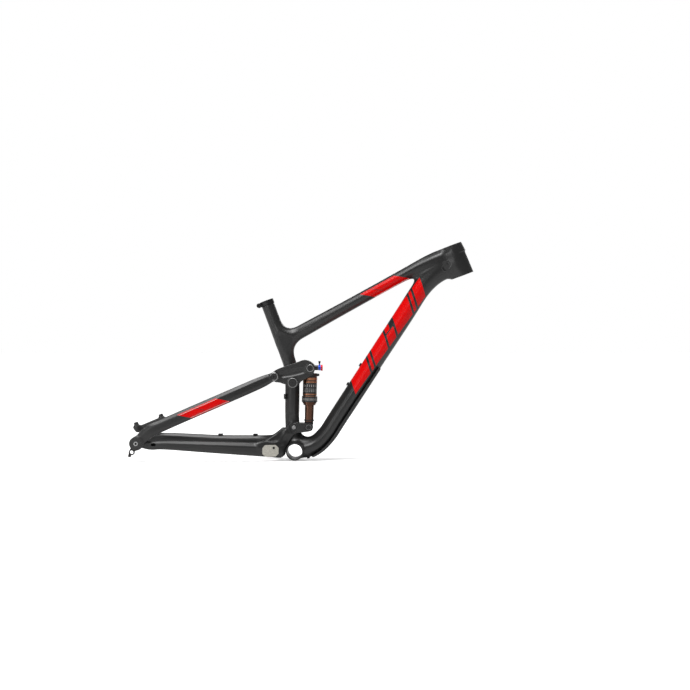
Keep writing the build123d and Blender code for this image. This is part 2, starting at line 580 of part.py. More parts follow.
def build_brake_mount():
    """Wing on the left stay that carries the two brake posts, and the two thread inserts."""
    tops, down = brake_posts()
    post_length, thread_depth = BRAKE_POST_LENGTH, BRAKE_THREAD_DEPTH
    insert_r = BRAKE_THREAD_R + BRAKE_INSERT_WALL
    rear, front = tops
    wing = [
        (AXLE[0] - 22, AXLE[1] + 26), (rear[0] - 4, rear[1] - post_length),
        (rear[0] + 12, rear[1] - post_length + 3), (front[0] - 8, front[1] - post_length),
        (front[0] + 12, front[1] - post_length + 4), (front[0] + 4, front[1] - 38),
        (AXLE[0] + 30, AXLE[1] + 26),
    ]
    y0, y1 = BRAKE_POST_Y - BRAKE_POST_R, HUB_HALF + DROPOUT_THICK + 4
    body = plate(wing, y0, y1, 2.0)
    inserts = []
    for top in tops:
        body += rod(top, down, BRAKE_POST_R, 0, post_length + 6, BRAKE_POST_Y)
        body -= rod(top, down, insert_r, -1, thread_depth, BRAKE_POST_Y)
        insert = rod(top, down, insert_r, 0, thread_depth, BRAKE_POST_Y)
        inserts.append(insert - rod(top, down, BRAKE_THREAD_R, -1, thread_depth + 1, BRAKE_POST_Y))
    return body, inserts


def build_seatstay():
    right = build_seatstay_leg(-1)
    left = build_seatstay_leg(1)
    wing, inserts = build_brake_mount()
    tops, down = brake_posts()
    for top in tops:
        left -= rod(top, down, BRAKE_THREAD_R + BRAKE_INSERT_WALL, -1, BRAKE_THREAD_DEPTH, BRAKE_POST_Y)
    wing -= disc(AXLE, STAY_HUB_R, 0, 120) + disc(AXLE, STAY_RING_R + 2, 0, HUB_HALF + 6 + SIDE_CLEARANCE)
    bridge_at = (STAY_PIVOT[0] - 32, STAY_PIVOT[1] - 14)
    bridge = disc(bridge_at, 8.0, -STAY_OUT, STAY_OUT) - right - left
    bolts = []
    for side in BOTH_SIDES:
        bolt = disc(STAY_PIVOT, PIVOT_BOLT_R, side * (ARM_IN + 0.5), side * STAY_OUT)
        bolt += disc(STAY_PIVOT, 7.5, side * STAY_OUT, side * (STAY_OUT + 2))
        bolts.append(bolt - hex_socket(STAY_PIVOT, 5.0, side * (STAY_OUT + 2), 4.0, side))
    save("seatstay_right", largest(right))
    save("seatstay_left", largest(left + wing))
    save("seatstay_bridge", largest(bridge))
    save("brake_inserts", *inserts)
    save("stay_pivot_bolts", *bolts)


# ---------------------------------------------------------------- rocker body
def arm_outline():
    """Side view of a rocker arm, clockwise from its rear top."""
    rx, rz = ROCKER_PIVOT
    sx, sz = STAY_PIVOT
    ux, uz = SHOCK_TOP
    return [
        (sx - 2, sz + 12), (sx + 27, sz + 27), (rx + 10, uz + 15), (ux - 17, uz + 22), (ux + 2, uz + 16),
        (ux + 12, uz + 2), (ux + 5, uz - 17), (ux - 13, uz - 29), (rx + 23, rz + 4), (rx + 12, rz - 6),
        (rx - 12, rz - 6), (rx - 35, rz + 1), (sx, sz - 12),
    ]


def build_rocker():
    arms, bearings, stay_bearings, spacers = [], [], [], []
    open_bore = PIVOT_BOLT_R + OPEN_PIVOT_GAP
    for side in BOTH_SIDES:
        y0, y1 = side * ARM_IN, side * ARM_OUT
        arm = plate(arm_outline(), y0, y1, 2.0) + disc(STAY_PIVOT, PIVOT_EYE_R, y0, y1)
        arm += disc(ROCKER_PIVOT, BEARING_R + 2.2, y0, y1) + disc(SHOCK_TOP, PIVOT_EYE_R, y0, y1)
        arm -= disc(ROCKER_PIVOT, BEARING_R, 0, side * 90) + disc(STAY_PIVOT, open_bore + 2.5, 0, side * 90)
        arms.append(arm - disc(SHOCK_TOP, PIVOT_BOLT_R, 0, side * 90))
        inner = PIVOT_AXLE_R + AXLE_CLEARANCE
        bearings.append(ring(ROCKER_PIVOT, BEARING_R, inner, y0, side * (ARM_IN + BEARING_WIDTH)))
        stay_bearings.append(ring(STAY_PIVOT, open_bore + 2.5, open_bore, y0, y1))
        gap_in = side * (SHOCK_EYE_WIDTH / 2 + SIDE_CLEARANCE)
        spacers.append(ring(SHOCK_TOP, 9.0, PIVOT_BOLT_R, gap_in, y0))
    bolt = disc(SHOCK_TOP, PIVOT_BOLT_R, -ARM_OUT, ARM_OUT)
    for side in BOTH_SIDES:
        bolt += disc(SHOCK_TOP, 7.0, side * ARM_OUT, side * (ARM_OUT + 2))
        bolt -= hex_socket(SHOCK_TOP, 5.0, side * (ARM_OUT + 2), 4.0, side)
    save("rocker_arm_right", arms[0])
    save("rocker_arm_left", arms[1])
    save("rocker_bearings", *bearings)
    save("stay_bearings", *stay_bearings)
    save("shock_upper_spacers", *spacers)
    save("shock_upper_bolt", bolt)


# ---------------------------------------------------------------- shock
def shock_ring(outer, inner, s0, s1):
    """Tube around the shock's axis, s measured from the upper eye."""
    return rod(SHOCK_TOP, SHOCK_DOWN, outer, s0, s1) - rod(SHOCK_TOP, SHOCK_DOWN, inner, s0 - 1, s1 + 1)


def forward(radius, x0, x1, lift=0.0):
    """Cylinder along +X, ahead of the upper eye."""
    at = (SHOCK_TOP[0] + x0, SHOCK_TOP[1] + 1 + lift)
    return rod(at, (1, 0), radius, 0, x1 - x0)


def build_shock_body():
    half = SHOCK_EYE_WIDTH / 2
    can_top, can_end, sleeve_end, seal_end = 24.0, 79.0, 95.0, 103.5
    can_bore = CAN_R - 2.5
    head = disc(SHOCK_TOP, SHOCK_EYE_R, -half, half)
    head += rod(SHOCK_TOP, SHOCK_DOWN, 10.5, 2, 17) + rod(SHOCK_TOP, SHOCK_DOWN, CAN_R - 1.0, 16, can_top)
    head += forward(7.0, 6, 22)
    head -= disc(SHOCK_TOP, PIVOT_BOLT_R + AXLE_CLEARANCE, -40, 40)
    seal = rod(SHOCK_TOP, SHOCK_DOWN, SLEEVE_R - 2.5, sleeve_end, sleeve_end + 4.0)
    seal += rod(SHOCK_TOP, SHOCK_DOWN, SLEEVE_R - 5.0, sleeve_end + 4.0, seal_end)
    seal -= rod(SHOCK_TOP, SHOCK_DOWN, SHAFT_R + SHAFT_CLEARANCE, sleeve_end - 2, seal_end + 2)
    valve_at = (SHOCK_TOP[0] + 14, SHOCK_TOP[1] - 19.0)
    valve = rod(valve_at, (1, 0), 3.5, 6.0, 11.0)
    head += rod(valve_at, (1, 0), 4.5, -6, 6.0)
    save("shock_head", largest(head))
    save("shock_air_can", shock_ring(CAN_R, can_bore, can_top, can_end))
    save("shock_sleeve", shock_ring(SLEEVE_R, can_bore, can_end, sleeve_end))
    save("shock_seal_head", seal)
    save("shock_valve_cap", valve)
    dial_start = 22.0 + SIDE_CLEARANCE
    collar = forward(7.5, dial_start, dial_start + 6.5)
    arm = forward(3.0, dial_start, dial_start + 6.0, 16.0) + Pos(
        SHOCK_TOP[0] + dial_start + 3, 0, SHOCK_TOP[1] + 12) * Box(4.0, 5.0, 12.0)
    save("compression_lever", collar + arm)
    knob_start = dial_start + 6.5 + SIDE_CLEARANCE
    knob = forward(8.5, knob_start, knob_start + 5.0)
    for step in range(10):
        turn = math.radians(36 * step)
        notch = forward(1.2, knob_start - 1, knob_start + 6)
        knob -= Pos(0, 8.5 * math.sin(turn), 8.5 * math.cos(turn)) * notch
    save("rebound_dial", largest(knob))


def build_shock_shaft():
    half = SHOCK_EYE_WIDTH / 2
    shaft_top = 64.0
    eye_top = SHOCK_LENGTH - SHOCK_EYE_R
    stanchion = rod(SHOCK_TOP, SHOCK_DOWN, SHAFT_R, shaft_top, eye_top - 4)
    eye = disc(SHOCK_BOTTOM, SHOCK_EYE_R, -half, half)
    eye += rod(SHOCK_TOP, SHOCK_DOWN, SHAFT_R, eye_top - 4, eye_top + 3)
    eye -= disc(SHOCK_BOTTOM, PIVOT_BOLT_R + OPEN_PIVOT_GAP, -40, 40)
    piston = shock_ring(CAN_R - 2.5 - 0.1, SHAFT_R, shaft_top, shaft_top + 8)
    travel_ring = shock_ring(SHAFT_R + 1.8, SHAFT_R, eye_top - 9.5, eye_top - 6.5)
    save("shock_stanchion", stanchion)
    save("shock_lower_eye", eye)
    save("shock_piston", piston)
    save("travel_ring", travel_ring)


# ---------------------------------------------------------------- small hardware
def build_pivot_hardware():
    main_bearings = []
    inner = PIVOT_AXLE_R + AXLE_CLEARANCE
    for side in BOTH_SIDES:
        main_bearings.append(ring(MAIN_PIVOT, BEARING_R, inner,
                                  side * (FRAME_HALF - BEARING_WIDTH), side * FRAME_HALF))
    save("main_pivot_bearings", *main_bearings)
    reach = ARM_OUT + SIDE_CLEARANCE
    save("rocker_pivot_axle", disc(ROCKER_PIVOT, PIVOT_AXLE_R, -reach, reach))
    save("main_pivot_axle", disc(MAIN_PIVOT, PIVOT_AXLE_R, -YOKE_OUT, YOKE_OUT))
    rocker_caps, main_caps = [], []
    for side in BOTH_SIDES:
        cap = disc(ROCKER_PIVOT, 10.0, side * reach, side * (reach + 2.4))
        rocker_caps.append(cap - hex_socket(ROCKER_PIVOT, 6.0, side * (reach + 2.4), 2.0, side))
        cap = disc(MAIN_PIVOT, 9.0, side * YOKE_OUT, side * (YOKE_OUT + 2.0))
        main_caps.append(cap - hex_socket(MAIN_PIVOT, 6.0, side * (YOKE_OUT + 2.0), 1.6, side))
    save("rocker_pivot_caps", *rocker_caps)
    save("main_pivot_caps", *main_caps)


def build_lower_shock_mount():
    spacers = []
    bolt = disc(SHOCK_BOTTOM, PIVOT_BOLT_R, -YOKE_OUT, YOKE_OUT)
    for side in BOTH_SIDES:
        start = side * (SHOCK_EYE_WIDTH / 2 + SIDE_CLEARANCE)
        spacers.append(ring(SHOCK_BOTTOM, 9.5, PIVOT_BOLT_R, start, side * YOKE_IN))
        bolt += disc(SHOCK_BOTTOM, 6.0, side * YOKE_OUT, side * (YOKE_OUT + 1.6))
        bolt -= hex_socket(SHOCK_BOTTOM, 5.0, side * (YOKE_OUT + 1.6), 3.0, side)
    save("shock_lower_spacers", *spacers)
    save("shock_lower_bolt", bolt)


def build_axle_hardware():
    journal_end = HUB_HALF + DROPOUT_THICK + 2 * SIDE_CLEARANCE + STAY_RING_THICK
    caps = [ring(AXLE, STAY_HUB_R + 2.0, AXLE_R, side * journal_end, side * (journal_end + 1.6))
            for side in BOTH_SIDES]
    save("stay_ring_caps", *caps)
    axle = disc(AXLE, AXLE_R, -journal_end - 2.6, journal_end + 1.6)
    axle += disc(AXLE, 9.0, journal_end + 1.6, journal_end + 6.0)
    axle -= hex_socket(AXLE, 6.0, -journal_end - 2.6, 6.0, -1)
    axle -= hex_socket(AXLE, 6.0, journal_end + 6.0, 5.0, 1)
    save("thru_axle", axle)
    bolt_at = (AXLE[0] - 8.5, AXLE[1] - 19.5)
    y_face = -HUB_HALF - DROPOUT_THICK + HANGER_THICK
    screw = disc(bolt_at, 3.0, y_face, y_face + 1.8)
    save("hanger_screw", screw - hex_socket(bolt_at, 2.5, y_face + 1.8, 1.2, 1))


# ---------------------------------------------------------------- build every node
build_front_triangle()
save("bottle_bolts", *build_bottle_bolts())
save("cable_ports", *build_cable_ports())
clamp, clamp_bolt, clamp_nut = build_seat_clamp()
save("seat_clamp", clamp)
save("seat_clamp_bolt", clamp_bolt)
save("seat_clamp_nut", clamp_nut)
build_chainstay()
build_seatstay()
build_rocker()
build_shock_body()
build_shock_shaft()
build_pivot_hardware()
build_lower_shock_mount()
build_axle_hardware()
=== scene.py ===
import json
import math
import bpy
import bmesh
import numpy as np
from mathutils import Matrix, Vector


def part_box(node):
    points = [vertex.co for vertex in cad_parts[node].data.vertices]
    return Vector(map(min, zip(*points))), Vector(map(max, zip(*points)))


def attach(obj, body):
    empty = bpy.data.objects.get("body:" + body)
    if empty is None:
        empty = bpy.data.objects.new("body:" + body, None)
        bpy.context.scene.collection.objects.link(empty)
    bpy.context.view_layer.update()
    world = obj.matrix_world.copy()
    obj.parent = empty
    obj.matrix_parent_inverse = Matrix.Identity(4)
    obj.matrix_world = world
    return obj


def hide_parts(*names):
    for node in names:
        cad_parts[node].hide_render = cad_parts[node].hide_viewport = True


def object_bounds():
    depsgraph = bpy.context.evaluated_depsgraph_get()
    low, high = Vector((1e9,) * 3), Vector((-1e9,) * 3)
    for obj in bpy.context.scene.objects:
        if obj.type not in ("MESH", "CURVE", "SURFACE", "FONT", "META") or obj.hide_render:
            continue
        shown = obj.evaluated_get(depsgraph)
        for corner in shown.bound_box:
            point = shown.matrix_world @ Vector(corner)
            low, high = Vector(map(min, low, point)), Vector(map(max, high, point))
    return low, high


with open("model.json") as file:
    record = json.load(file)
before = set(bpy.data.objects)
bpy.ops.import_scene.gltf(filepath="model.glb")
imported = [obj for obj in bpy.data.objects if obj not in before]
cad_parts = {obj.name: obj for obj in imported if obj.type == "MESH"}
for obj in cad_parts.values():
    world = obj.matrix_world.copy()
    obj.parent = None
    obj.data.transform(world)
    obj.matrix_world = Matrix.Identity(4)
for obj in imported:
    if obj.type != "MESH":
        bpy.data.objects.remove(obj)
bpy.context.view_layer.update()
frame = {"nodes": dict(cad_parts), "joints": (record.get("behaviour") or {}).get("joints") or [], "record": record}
NODES = frame["nodes"]
JOINTS = {j["name"]: j for j in frame["joints"]}
MOUNTS = {m["name"]: m for m in frame["record"]["mounts"]}
MM = 0.001

# The moulded skins are worked out from distance fields, in millimetres and in the frame's axes: X forward,
# Z up, and the drive side at negative Y. Metres come in only where a mesh is made.
FAR = 60.0                      # a field is only exact this near its surface
CREASE = math.radians(32)       # edges sharper than this are shaded sharp
SIDES = ((-1, "right"), (1, "left"))


def pivot(name):
    """X and Z of a joint, in millimetres."""
    at = JOINTS[name]["pos_m"]
    return np.array([at[0], at[2]]) / MM


def place(name):
    """Position and axis of a mount, in millimetres."""
    mount = MOUNTS[name]
    return np.array(mount["pos_m"]) / MM, np.array(mount["axis"], float)


def cad_box(node):
    """Both corners of a CAD node's box, in millimetres."""
    low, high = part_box(node)
    return np.array(low) / MM, np.array(high) / MM


def centre(node):
    """X and Z of the middle of a CAD node's box."""
    low, high = cad_box(node)
    return (low + high)[[0, 2]] / 2


MAIN = pivot("main_pivot")
ROCKER = pivot("rocker_pivot")
EYE_TOP = pivot("shock_pivot")
AXLE = pivot("axle_pivot")
STAY = centre("stay_bearings")
EYE_LOW = centre("shock_lower_spacers")
PORT = centre("cable_ports")
HEAD_TOP, HEAD_UP = place("headset_upper")
HEAD_LOW, HEAD_DOWN = place("headset_lower")
CUP = MOUNTS["headset_upper"]["dims"]["length_mm"]
HEAD_TOP = HEAD_TOP + HEAD_UP * CUP / 2
HEAD_LOW = HEAD_LOW + HEAD_DOWN * CUP / 2
SEAT_MID, SEAT_UP = place("seatpost")
SEAT_LENGTH = MOUNTS["seatpost"]["dims"]["length_mm"]
SEAT_TOP = SEAT_MID + SEAT_UP * SEAT_LENGTH / 2
BB = MOUNTS["bottom_bracket"]["dims"]


# ------------------------------------------------------------------ distance fields
def smooth_min(a, b, radius):
    """Union whose crease is rounded to about radius."""
    h = np.clip(0.5 + 0.5 * (b - a) / radius, 0, 1)
    return b * (1 - h) + a * h - radius * h * (1 - h)


def smooth_max(a, b, radius):
    """Overlap whose edge is rounded to about radius."""
    return -smooth_min(-a, -b, radius)


def round_box(u, v, half_u, half_v, corner):
    """Distance to a rounded rectangle."""
    qu = np.abs(u) - (half_u - corner)
    qv = np.abs(v) - (half_v - corner)
    outside = np.hypot(np.maximum(qu, 0), np.maximum(qv, 0))
    return outside + np.minimum(np.maximum(qu, qv), 0) - corner


def spline(stations, steps):
    """Smooth curve through rows of values, as rows again (Catmull-Rom)."""
    rows = np.asarray(stations, float)
    padded = np.vstack([2 * rows[0] - rows[1], rows, 2 * rows[-1] - rows[-2]])
    out = []
    for i in range(len(rows) - 1):
        p0, p1, p2, p3 = padded[i:i + 4]
        for k in range(steps):
            t = k / steps
            out.append(0.5 * (2 * p1 + (p2 - p0) * t + (2 * p0 - 5 * p1 + 4 * p2 - p3) * t * t
                              + (3 * p1 - p0 - 3 * p2 + p3) * t ** 3))
    out.append(rows[-1])
    return np.array(out)


def member(points, stations, facets=None, crease=1.2, steps=6):
    """Field of a tube through stations (x, y, z, half depth, half width, corner).

    Depth runs in the frame's middle plane, across the path. Facets are two pairs, for the upper and the lower
    face: where the slanted facet starts on the side and where it ends on the face, as shares of the half sizes.
    """
    rows = spline(stations, steps)
    reach = rows[:, 3:5].max() + FAR
    field = np.full(len(points), FAR)
    near = np.all((points > rows[:, :3].min(0) - reach) & (points < rows[:, :3].max(0) + reach), axis=1)
    chosen = np.nonzero(near)[0]
    p = points[chosen]
    best = np.full(len(p), 1e9)
    value = np.full(len(p), FAR)
    for a, b in zip(rows[:-1], rows[1:]):
        span = b[:3] - a[:3]
        local = np.all((p > np.minimum(a, b)[:3] - reach) & (p < np.maximum(a, b)[:3] + reach), axis=1)
        idx = np.nonzero(local)[0]
        if not len(idx):
            continue
        rel = p[idx] - a[:3]
        t = np.clip(rel @ span / (span @ span), 0, 1)
        off = rel - t[:, None] * span
        dist = np.einsum("ij,ij->i", off, off)
        closer = dist < best[idx]
        idx, t, off, dist, rel = idx[closer], t[closer], off[closer], dist[closer], rel[closer]
        along = span / np.linalg.norm(span)
        side = np.array([0.0, 1.0, 0.0]) - along[1] * along
        side /= np.linalg.norm(side)
        up = np.cross(along, side)
        size = a[3:6] + t[:, None] * (b[3:6] - a[3:6])
        u, v, w = off @ up, off @ side, off @ along
        f = round_box(u, v, size[:, 0], size[:, 1], size[:, 2])
        if facets:
            for turn, (side_share, face_share) in zip((1, -1), facets):
                across, down = (1 - side_share) * size[:, 0], (1 - face_share) * size[:, 1]
                cut = (turn * u - side_share * size[:, 0]) * down + (np.abs(v) - size[:, 1]) * across
                f = smooth_max(f, cut / np.hypot(across, down), crease)
        value[idx] = np.where(np.abs(w) > 1e-6, np.hypot(np.maximum(f, 0), w) + np.minimum(f, 0), f)
        best[idx] = dist
    field[chosen] = np.minimum(value, FAR)
    return field


def cylinder(points, start, end, r0, r1=None):
    """Field of a round bar or cone between two points, with flat ends."""
    start, end = np.asarray(start, float), np.asarray(end, float)
    r1 = r0 if r1 is None else r1
    span = end - start
    length = np.linalg.norm(span)
    along = span / length
    rel = points - start
    w = rel @ along
    radial = np.linalg.norm(rel - w[:, None] * along, axis=1)
    radius = r0 + (r1 - r0) * np.clip(w / length, 0, 1)
    return round_box(w - length / 2, radial, length / 2, radius, 0.8)


def disc(points, at, radius, y0, y1, soft=0.8):
    """Field of a disc whose axis lies along Y."""
    radial = np.hypot(points[:, 0] - at[0], points[:, 2] - at[1])
    return round_box(points[:, 1] - (y0 + y1) / 2, radial, abs(y1 - y0) / 2, radius, soft)


def polygon(x, z, outline):
    """Signed distance to a closed outline in the XZ plane."""
    outline = np.asarray(outline, float)
    d = np.full(len(x), 1e18)
    sign = np.ones(len(x))
    last = len(outline) - 1
    for i in range(len(outline)):
        a, b = outline[i], outline[last]
        last = i
        e = b - a
        wx, wz = x - a[0], z - a[1]
        t = np.clip((wx * e[0] + wz * e[1]) / (e @ e), 0, 1)
        d = np.minimum(d, (wx - e[0] * t) ** 2 + (wz - e[1] * t) ** 2)
        above, below = z >= a[1], z < b[1]
        left = e[0] * wz > e[1] * wx
        flip = (above & below & left) | (~above & ~below & ~left)
        sign = np.where(flip, -sign, sign)
    return sign * np.sqrt(d)


def curved(outline, steps=4):
    """Closed smooth curve through the points of an outline."""
    rows = np.asarray(outline, float)
    looped = np.vstack([rows[-2:], rows, rows[:3]])
    return spline(looped, steps)[2 * steps:(2 + len(rows)) * steps]


def slab(points, outline, y0, y1, corner, soft):
    """Field of a flat plate with soft edges, grown by corner."""
    reach = FAR / 2
    outline = np.asarray(outline)
    flat = np.full(len(points), FAR)
    spot = points[:, [0, 2]]
    near = np.all((spot > outline.min(0) - reach) & (spot < outline.max(0) + reach), axis=1)
    flat[near] = polygon(points[near, 0], points[near, 2], outline) - corner
    across = np.abs(points[:, 1] - (y0 + y1) / 2) - abs(y1 - y0) / 2
    qa, qb = flat + soft, across + soft
    return np.hypot(np.maximum(qa, 0), np.maximum(qb, 0)) + np.minimum(np.maximum(qa, qb), 0) - soft


# ------------------------------------------------------------------ from field to mesh
EDGES = [((0, 0, 0), (1, 0, 0)), ((0, 1, 0), (1, 1, 0)), ((0, 0, 1), (1, 0, 1)), ((0, 1, 1), (1, 1, 1)),
         ((0, 0, 0), (0, 1, 0)), ((1, 0, 0), (1, 1, 0)), ((0, 0, 1), (0, 1, 1)), ((1, 0, 1), (1, 1, 1)),
         ((0, 0, 0), (0, 0, 1)), ((1, 0, 0), (1, 0, 1)), ((0, 1, 0), (0, 1, 1)), ((1, 1, 0), (1, 1, 1))]


NEAR_BLOCKS = 2.2               # how far from the surface the fine grid is filled, in coarse blocks
PROBE = 0.4                     # half the distance over which a field's slope is taken


def surface(field, low, high, step, polish=3):
    """Quads on the zero surface of a field, and its points moved onto it (surface nets).

    The field is worked out on a coarse grid first, and on the fine grid only near the surface.
    """
    low, high = np.asarray(low, float), np.asarray(high, float)
    shape = np.ceil((high - low) / step).astype(int) + 1
    coarse = 4
    block = coarse * step
    rough_shape = np.ceil(shape / coarse).astype(int) + 1
    rough = np.stack(np.meshgrid(*[np.arange(n) * block for n in rough_shape], indexing="ij"), -1)
    active = np.abs(field(rough.reshape(-1, 3) + low)).reshape(rough_shape) < NEAR_BLOCKS * block
    fine = np.repeat(np.repeat(np.repeat(active, coarse, 0), coarse, 1), coarse, 2)
    fine = np.roll(fine, -(coarse // 2), (0, 1, 2))[:shape[0], :shape[1], :shape[2]]
    index = np.argwhere(fine)
    values = np.full(shape, np.nan)
    values[tuple(index.T)] = field(index * step + low)
    corner = {(i, j, k): values[i:shape[0] - 1 + i, j:shape[1] - 1 + j, k:shape[2] - 1 + k]
              for i in (0, 1) for j in (0, 1) for k in (0, 1)}
    lowest = np.minimum.reduce(list(corner.values()))
    highest = np.maximum.reduce(list(corner.values()))
    cells = np.argwhere((lowest < 0) & (highest >= 0))
    total = np.zeros((len(cells), 3))
    count = np.zeros(len(cells))
    at = tuple(cells.T)
    for a, b in EDGES:
        va, vb = corner[a][at], corner[b][at]
        hit = (va < 0) != (vb < 0)
        t = np.where(hit, va / np.where(hit, va - vb, 1), 0)
        spot = np.array(a) + t[:, None] * (np.array(b) - np.array(a))
        total += spot * hit[:, None]
        count += hit
    points = (cells + total / count[:, None]) * step + low
    number = np.full(np.array(shape) - 1, -1)
    number[at] = np.arange(len(cells))
    quads = []
    for axis in range(3):
        u, v = (axis + 1) % 3, (axis + 2) % 3
        first = [slice(1, -1)] * 3
        first[axis] = slice(0, shape[axis] - 1)
        second = list(first)
        second[axis] = slice(1, shape[axis])
        va, vb = values[tuple(first)], values[tuple(second)]
        hit = ((va < 0) != (vb < 0)) & ~np.isnan(va) & ~np.isnan(vb)
        where = np.argwhere(hit) + np.array([0 if n == axis else 1 for n in range(3)])
        du, dv = np.eye(3, dtype=int)[u], np.eye(3, dtype=int)[v]
        ring = [where, where - du, where - du - dv, where - dv]
        face = np.stack([number[tuple(r.T)] for r in ring], 1)
        outward = va[hit] >= 0
        face[outward] = face[outward][:, ::-1]
        quads.append(face)
    quads = np.concatenate(quads)
    quads = quads[(quads >= 0).all(1)]
    for _ in range(polish):
        value = field(points)
        slope = np.stack([field(points + d) - field(points - d) for d in np.eye(3) * PROBE], 1) / (2 * PROBE)
        steep = np.maximum((slope ** 2).sum(1), 0.3)
        points = points - np.clip(value, -step, step)[:, None] * slope / steep[:, None]
    return points, quads


def make_object(name, points, faces, smooth=True):
    """A Blender mesh from points in millimetres."""
    mesh = bpy.data.meshes.new(name)
    mesh.from_pydata([tuple(p) for p in np.asarray(points) * MM], [], [tuple(f) for f in faces])
    mesh.update()
    piece = bpy.data.objects.new(name, mesh)
    bpy.context.scene.collection.objects.link(piece)
    if smooth:
        mesh.polygons.foreach_set("use_smooth", [True] * len(mesh.polygons))
    return piece


def shade(mesh):
    """Shades a mesh smooth, with its creases sharp."""
    mesh.polygons.foreach_set("use_smooth", [True] * len(mesh.polygons))
    mesh.set_sharp_from_angle(angle=CREASE)


def shell(name, field, low, high, step):
    """Closed skin of a field, as an object."""
    points, quads = surface(field, low, high, step)
    return make_object(name, points, quads)


def cut_away(piece, cutters):
    """Evens out a shell, takes closed cutter meshes away from it exactly, and shades its new edges sharp."""
    even = piece.modifiers.new("even", "SMOOTH")
    even.factor = 0.5
    even.iterations = 2
    for tool in cutters:
        change = piece.modifiers.new("cut", "BOOLEAN")
        change.operation = "DIFFERENCE"
        change.solver = "EXACT"
        change.object = tool
    graph = bpy.context.evaluated_depsgraph_get()
    cut = bpy.data.meshes.new_from_object(piece.evaluated_get(graph))
    piece.modifiers.clear()
    old = piece.data
    piece.data = cut
    bpy.data.meshes.remove(old)
    for tool in cutters:
        bpy.data.objects.remove(tool)
    shade(cut)


def lathe(name, start, direction, profile, turns=72):
    """Solid of revolution: profile is (distance along the axis, radius) pairs, from end to end."""
    start, direction = Vector(start), Vector(direction).normalized()
    side = direction.orthogonal().normalized()
    other = direction.cross(side)
    mesh = bmesh.new()
    rings = []
    for s, r in profile:
        centre = start + direction * s
        if r < 1e-6:
            rings.append([mesh.verts.new(centre * MM)])
            continue
        rings.append([mesh.verts.new((centre + (side * math.cos(a) + other * math.sin(a)) * r) * MM)
                      for a in (2 * math.pi * k / turns for k in range(turns))])
    closed = len(rings[0]) > 1 and len(rings[-1]) > 1
    pairs = list(zip(rings, rings[1:])) + ([(rings[-1], rings[0])] if closed else [])
    for a, b in pairs:
        for k in range(turns):
            n = (k + 1) % turns
            if len(a) == 1:
                mesh.faces.new((a[0], b[n], b[k]))
            elif len(b) == 1:
                mesh.faces.new((a[k], a[n], b[0]))
            else:
                mesh.faces.new((a[k], a[n], b[n], b[k]))
    bmesh.ops.recalc_face_normals(mesh, faces=mesh.faces)
    data = bpy.data.meshes.new(name)
    mesh.to_mesh(data)
    mesh.free()
    shade(data)
    piece = bpy.data.objects.new(name, data)
    bpy.context.scene.collection.objects.link(piece)
    return piece


def bore(at, radius, y0, y1):
    """Cutter for a round hole along Y."""
    start, length = (at[0], min(y0, y1), at[1]), abs(y1 - y0)
    return lathe("cutter", start, (0, 1, 0), [(0, 0), (0, radius), (length, radius), (length, 0)])


# ------------------------------------------------------------------ front triangle
STEP = 2.3           # grid of the main frame; smaller pieces take a share of it
OVERRUN = 3                                 # the skins run this far past an end, and a cutter trims them
CLEAR = 60                                  # the cutters reach this far, clear of the whole skin

HEAD_RADII = (28.5, 25.0)                   # bottom and top of the head tube
BAND_R, BAND_HEIGHT = 28.8, 27.0            # raised band at its top
LOWER_CUP_R, UPPER_CUP_R = 26.05, 21.0
STEERER_RADII = (24.0, 19.5)
CUP_LIP = (0.9, 1.15, 1.1)                  # length, and growth of the lower and upper mouths
SEAT_R, NECK_R, NECK_LENGTH = 18.2, 17.45, 14
SEAT_BORE_R, SEAT_BORE_DEPTH = 15.8, 190
SLOT_HALF, SLOT_AT = (14, 0.6, 16), (-16, 0, -6.0)
SHELL_R, PRESS_FIT_R, PRESS_FIT_LIP = 24.5, 20.5, 1.1
FRAME_HALF, MAST_HALF = 19.7, 23.4          # half widths over the main pivot and over the rocker pivot
PIVOT_BOSS_R, ROCKER_LUG_R = 15.5, 12
BEARING_R, BEARING_IN = 12.05, 12.7         # main pivot bearing seats
ROCKER_BORE_R = 7.5
MAST_X, MAST_TOP = MAIN[0] - 5.4, 262
PORT_WAY = (math.cos(math.radians(62)), math.sin(math.radians(62)))
PORT_REACH, PORT_R, PORT_DEPTH = 6.0, 8.4, 1.3
JUNCTION = (-30, 300)                       # where the top tube meets the seat tube

# Rows of x, y, z, half depth, half width, corner.
TOP_TUBE = [
    (-22, 0, 311.5, 18.5, 14, 11), (28, 0, 339.4, 18.5, 18.5, 12), (139.4, 0, 401.0, 17, 19, 12),
    (293.4, 0, 486.1, 17.2, 20, 12), (375, 0, 528.5, 20, 21.5, 13), (440, 0, 556, 21, 22, 13),
]
DOWN_TUBE = [
    (2, 0, 2, 18, 39.5, 14), (34, 0, 7, 25, 39.5, 17), (63, 0, 22, 25.5, 36, 17),
    (90, 0, 50, 25, 33, 17), (111, 0, 82, 25, 32, 17), (150, 0, 142, 25, 31, 17),
    (295.8, 0, 365, 26, 30, 17), (356, 0, 457, 26, 29, 17), (405, 0, 503, 29.5, 27, 16),
    (448, 0, 517, 33, 25, 16),
]
MAST = [
    (MAST_X + 4, 0, 8, 21, FRAME_HALF, 10), (MAST_X, 0, MAIN[1] + 26, 19.8, FRAME_HALF, 10),
    (MAST_X, 0, MAIN[1] + 52, 19.8, MAST_HALF, 11), (MAST_X, 0, ROCKER[1] + 12, 19.8, MAST_HALF, 11),
    (-16, 0, 246, 18.2, 18.2, 17), (-30, 0, 283, 18.2, 18.2, 17.6),
]


def stadium(x, z):
    """Distance in the XZ plane to the long oval around the cable port."""
    dx, dz = x - PORT[0], z - PORT[1]
    along = dx * PORT_WAY[0] + dz * PORT_WAY[1]
    across = dz * PORT_WAY[0] - dx * PORT_WAY[1]
    return np.hypot(np.maximum(np.abs(along) - PORT_REACH, 0), across) - PORT_R


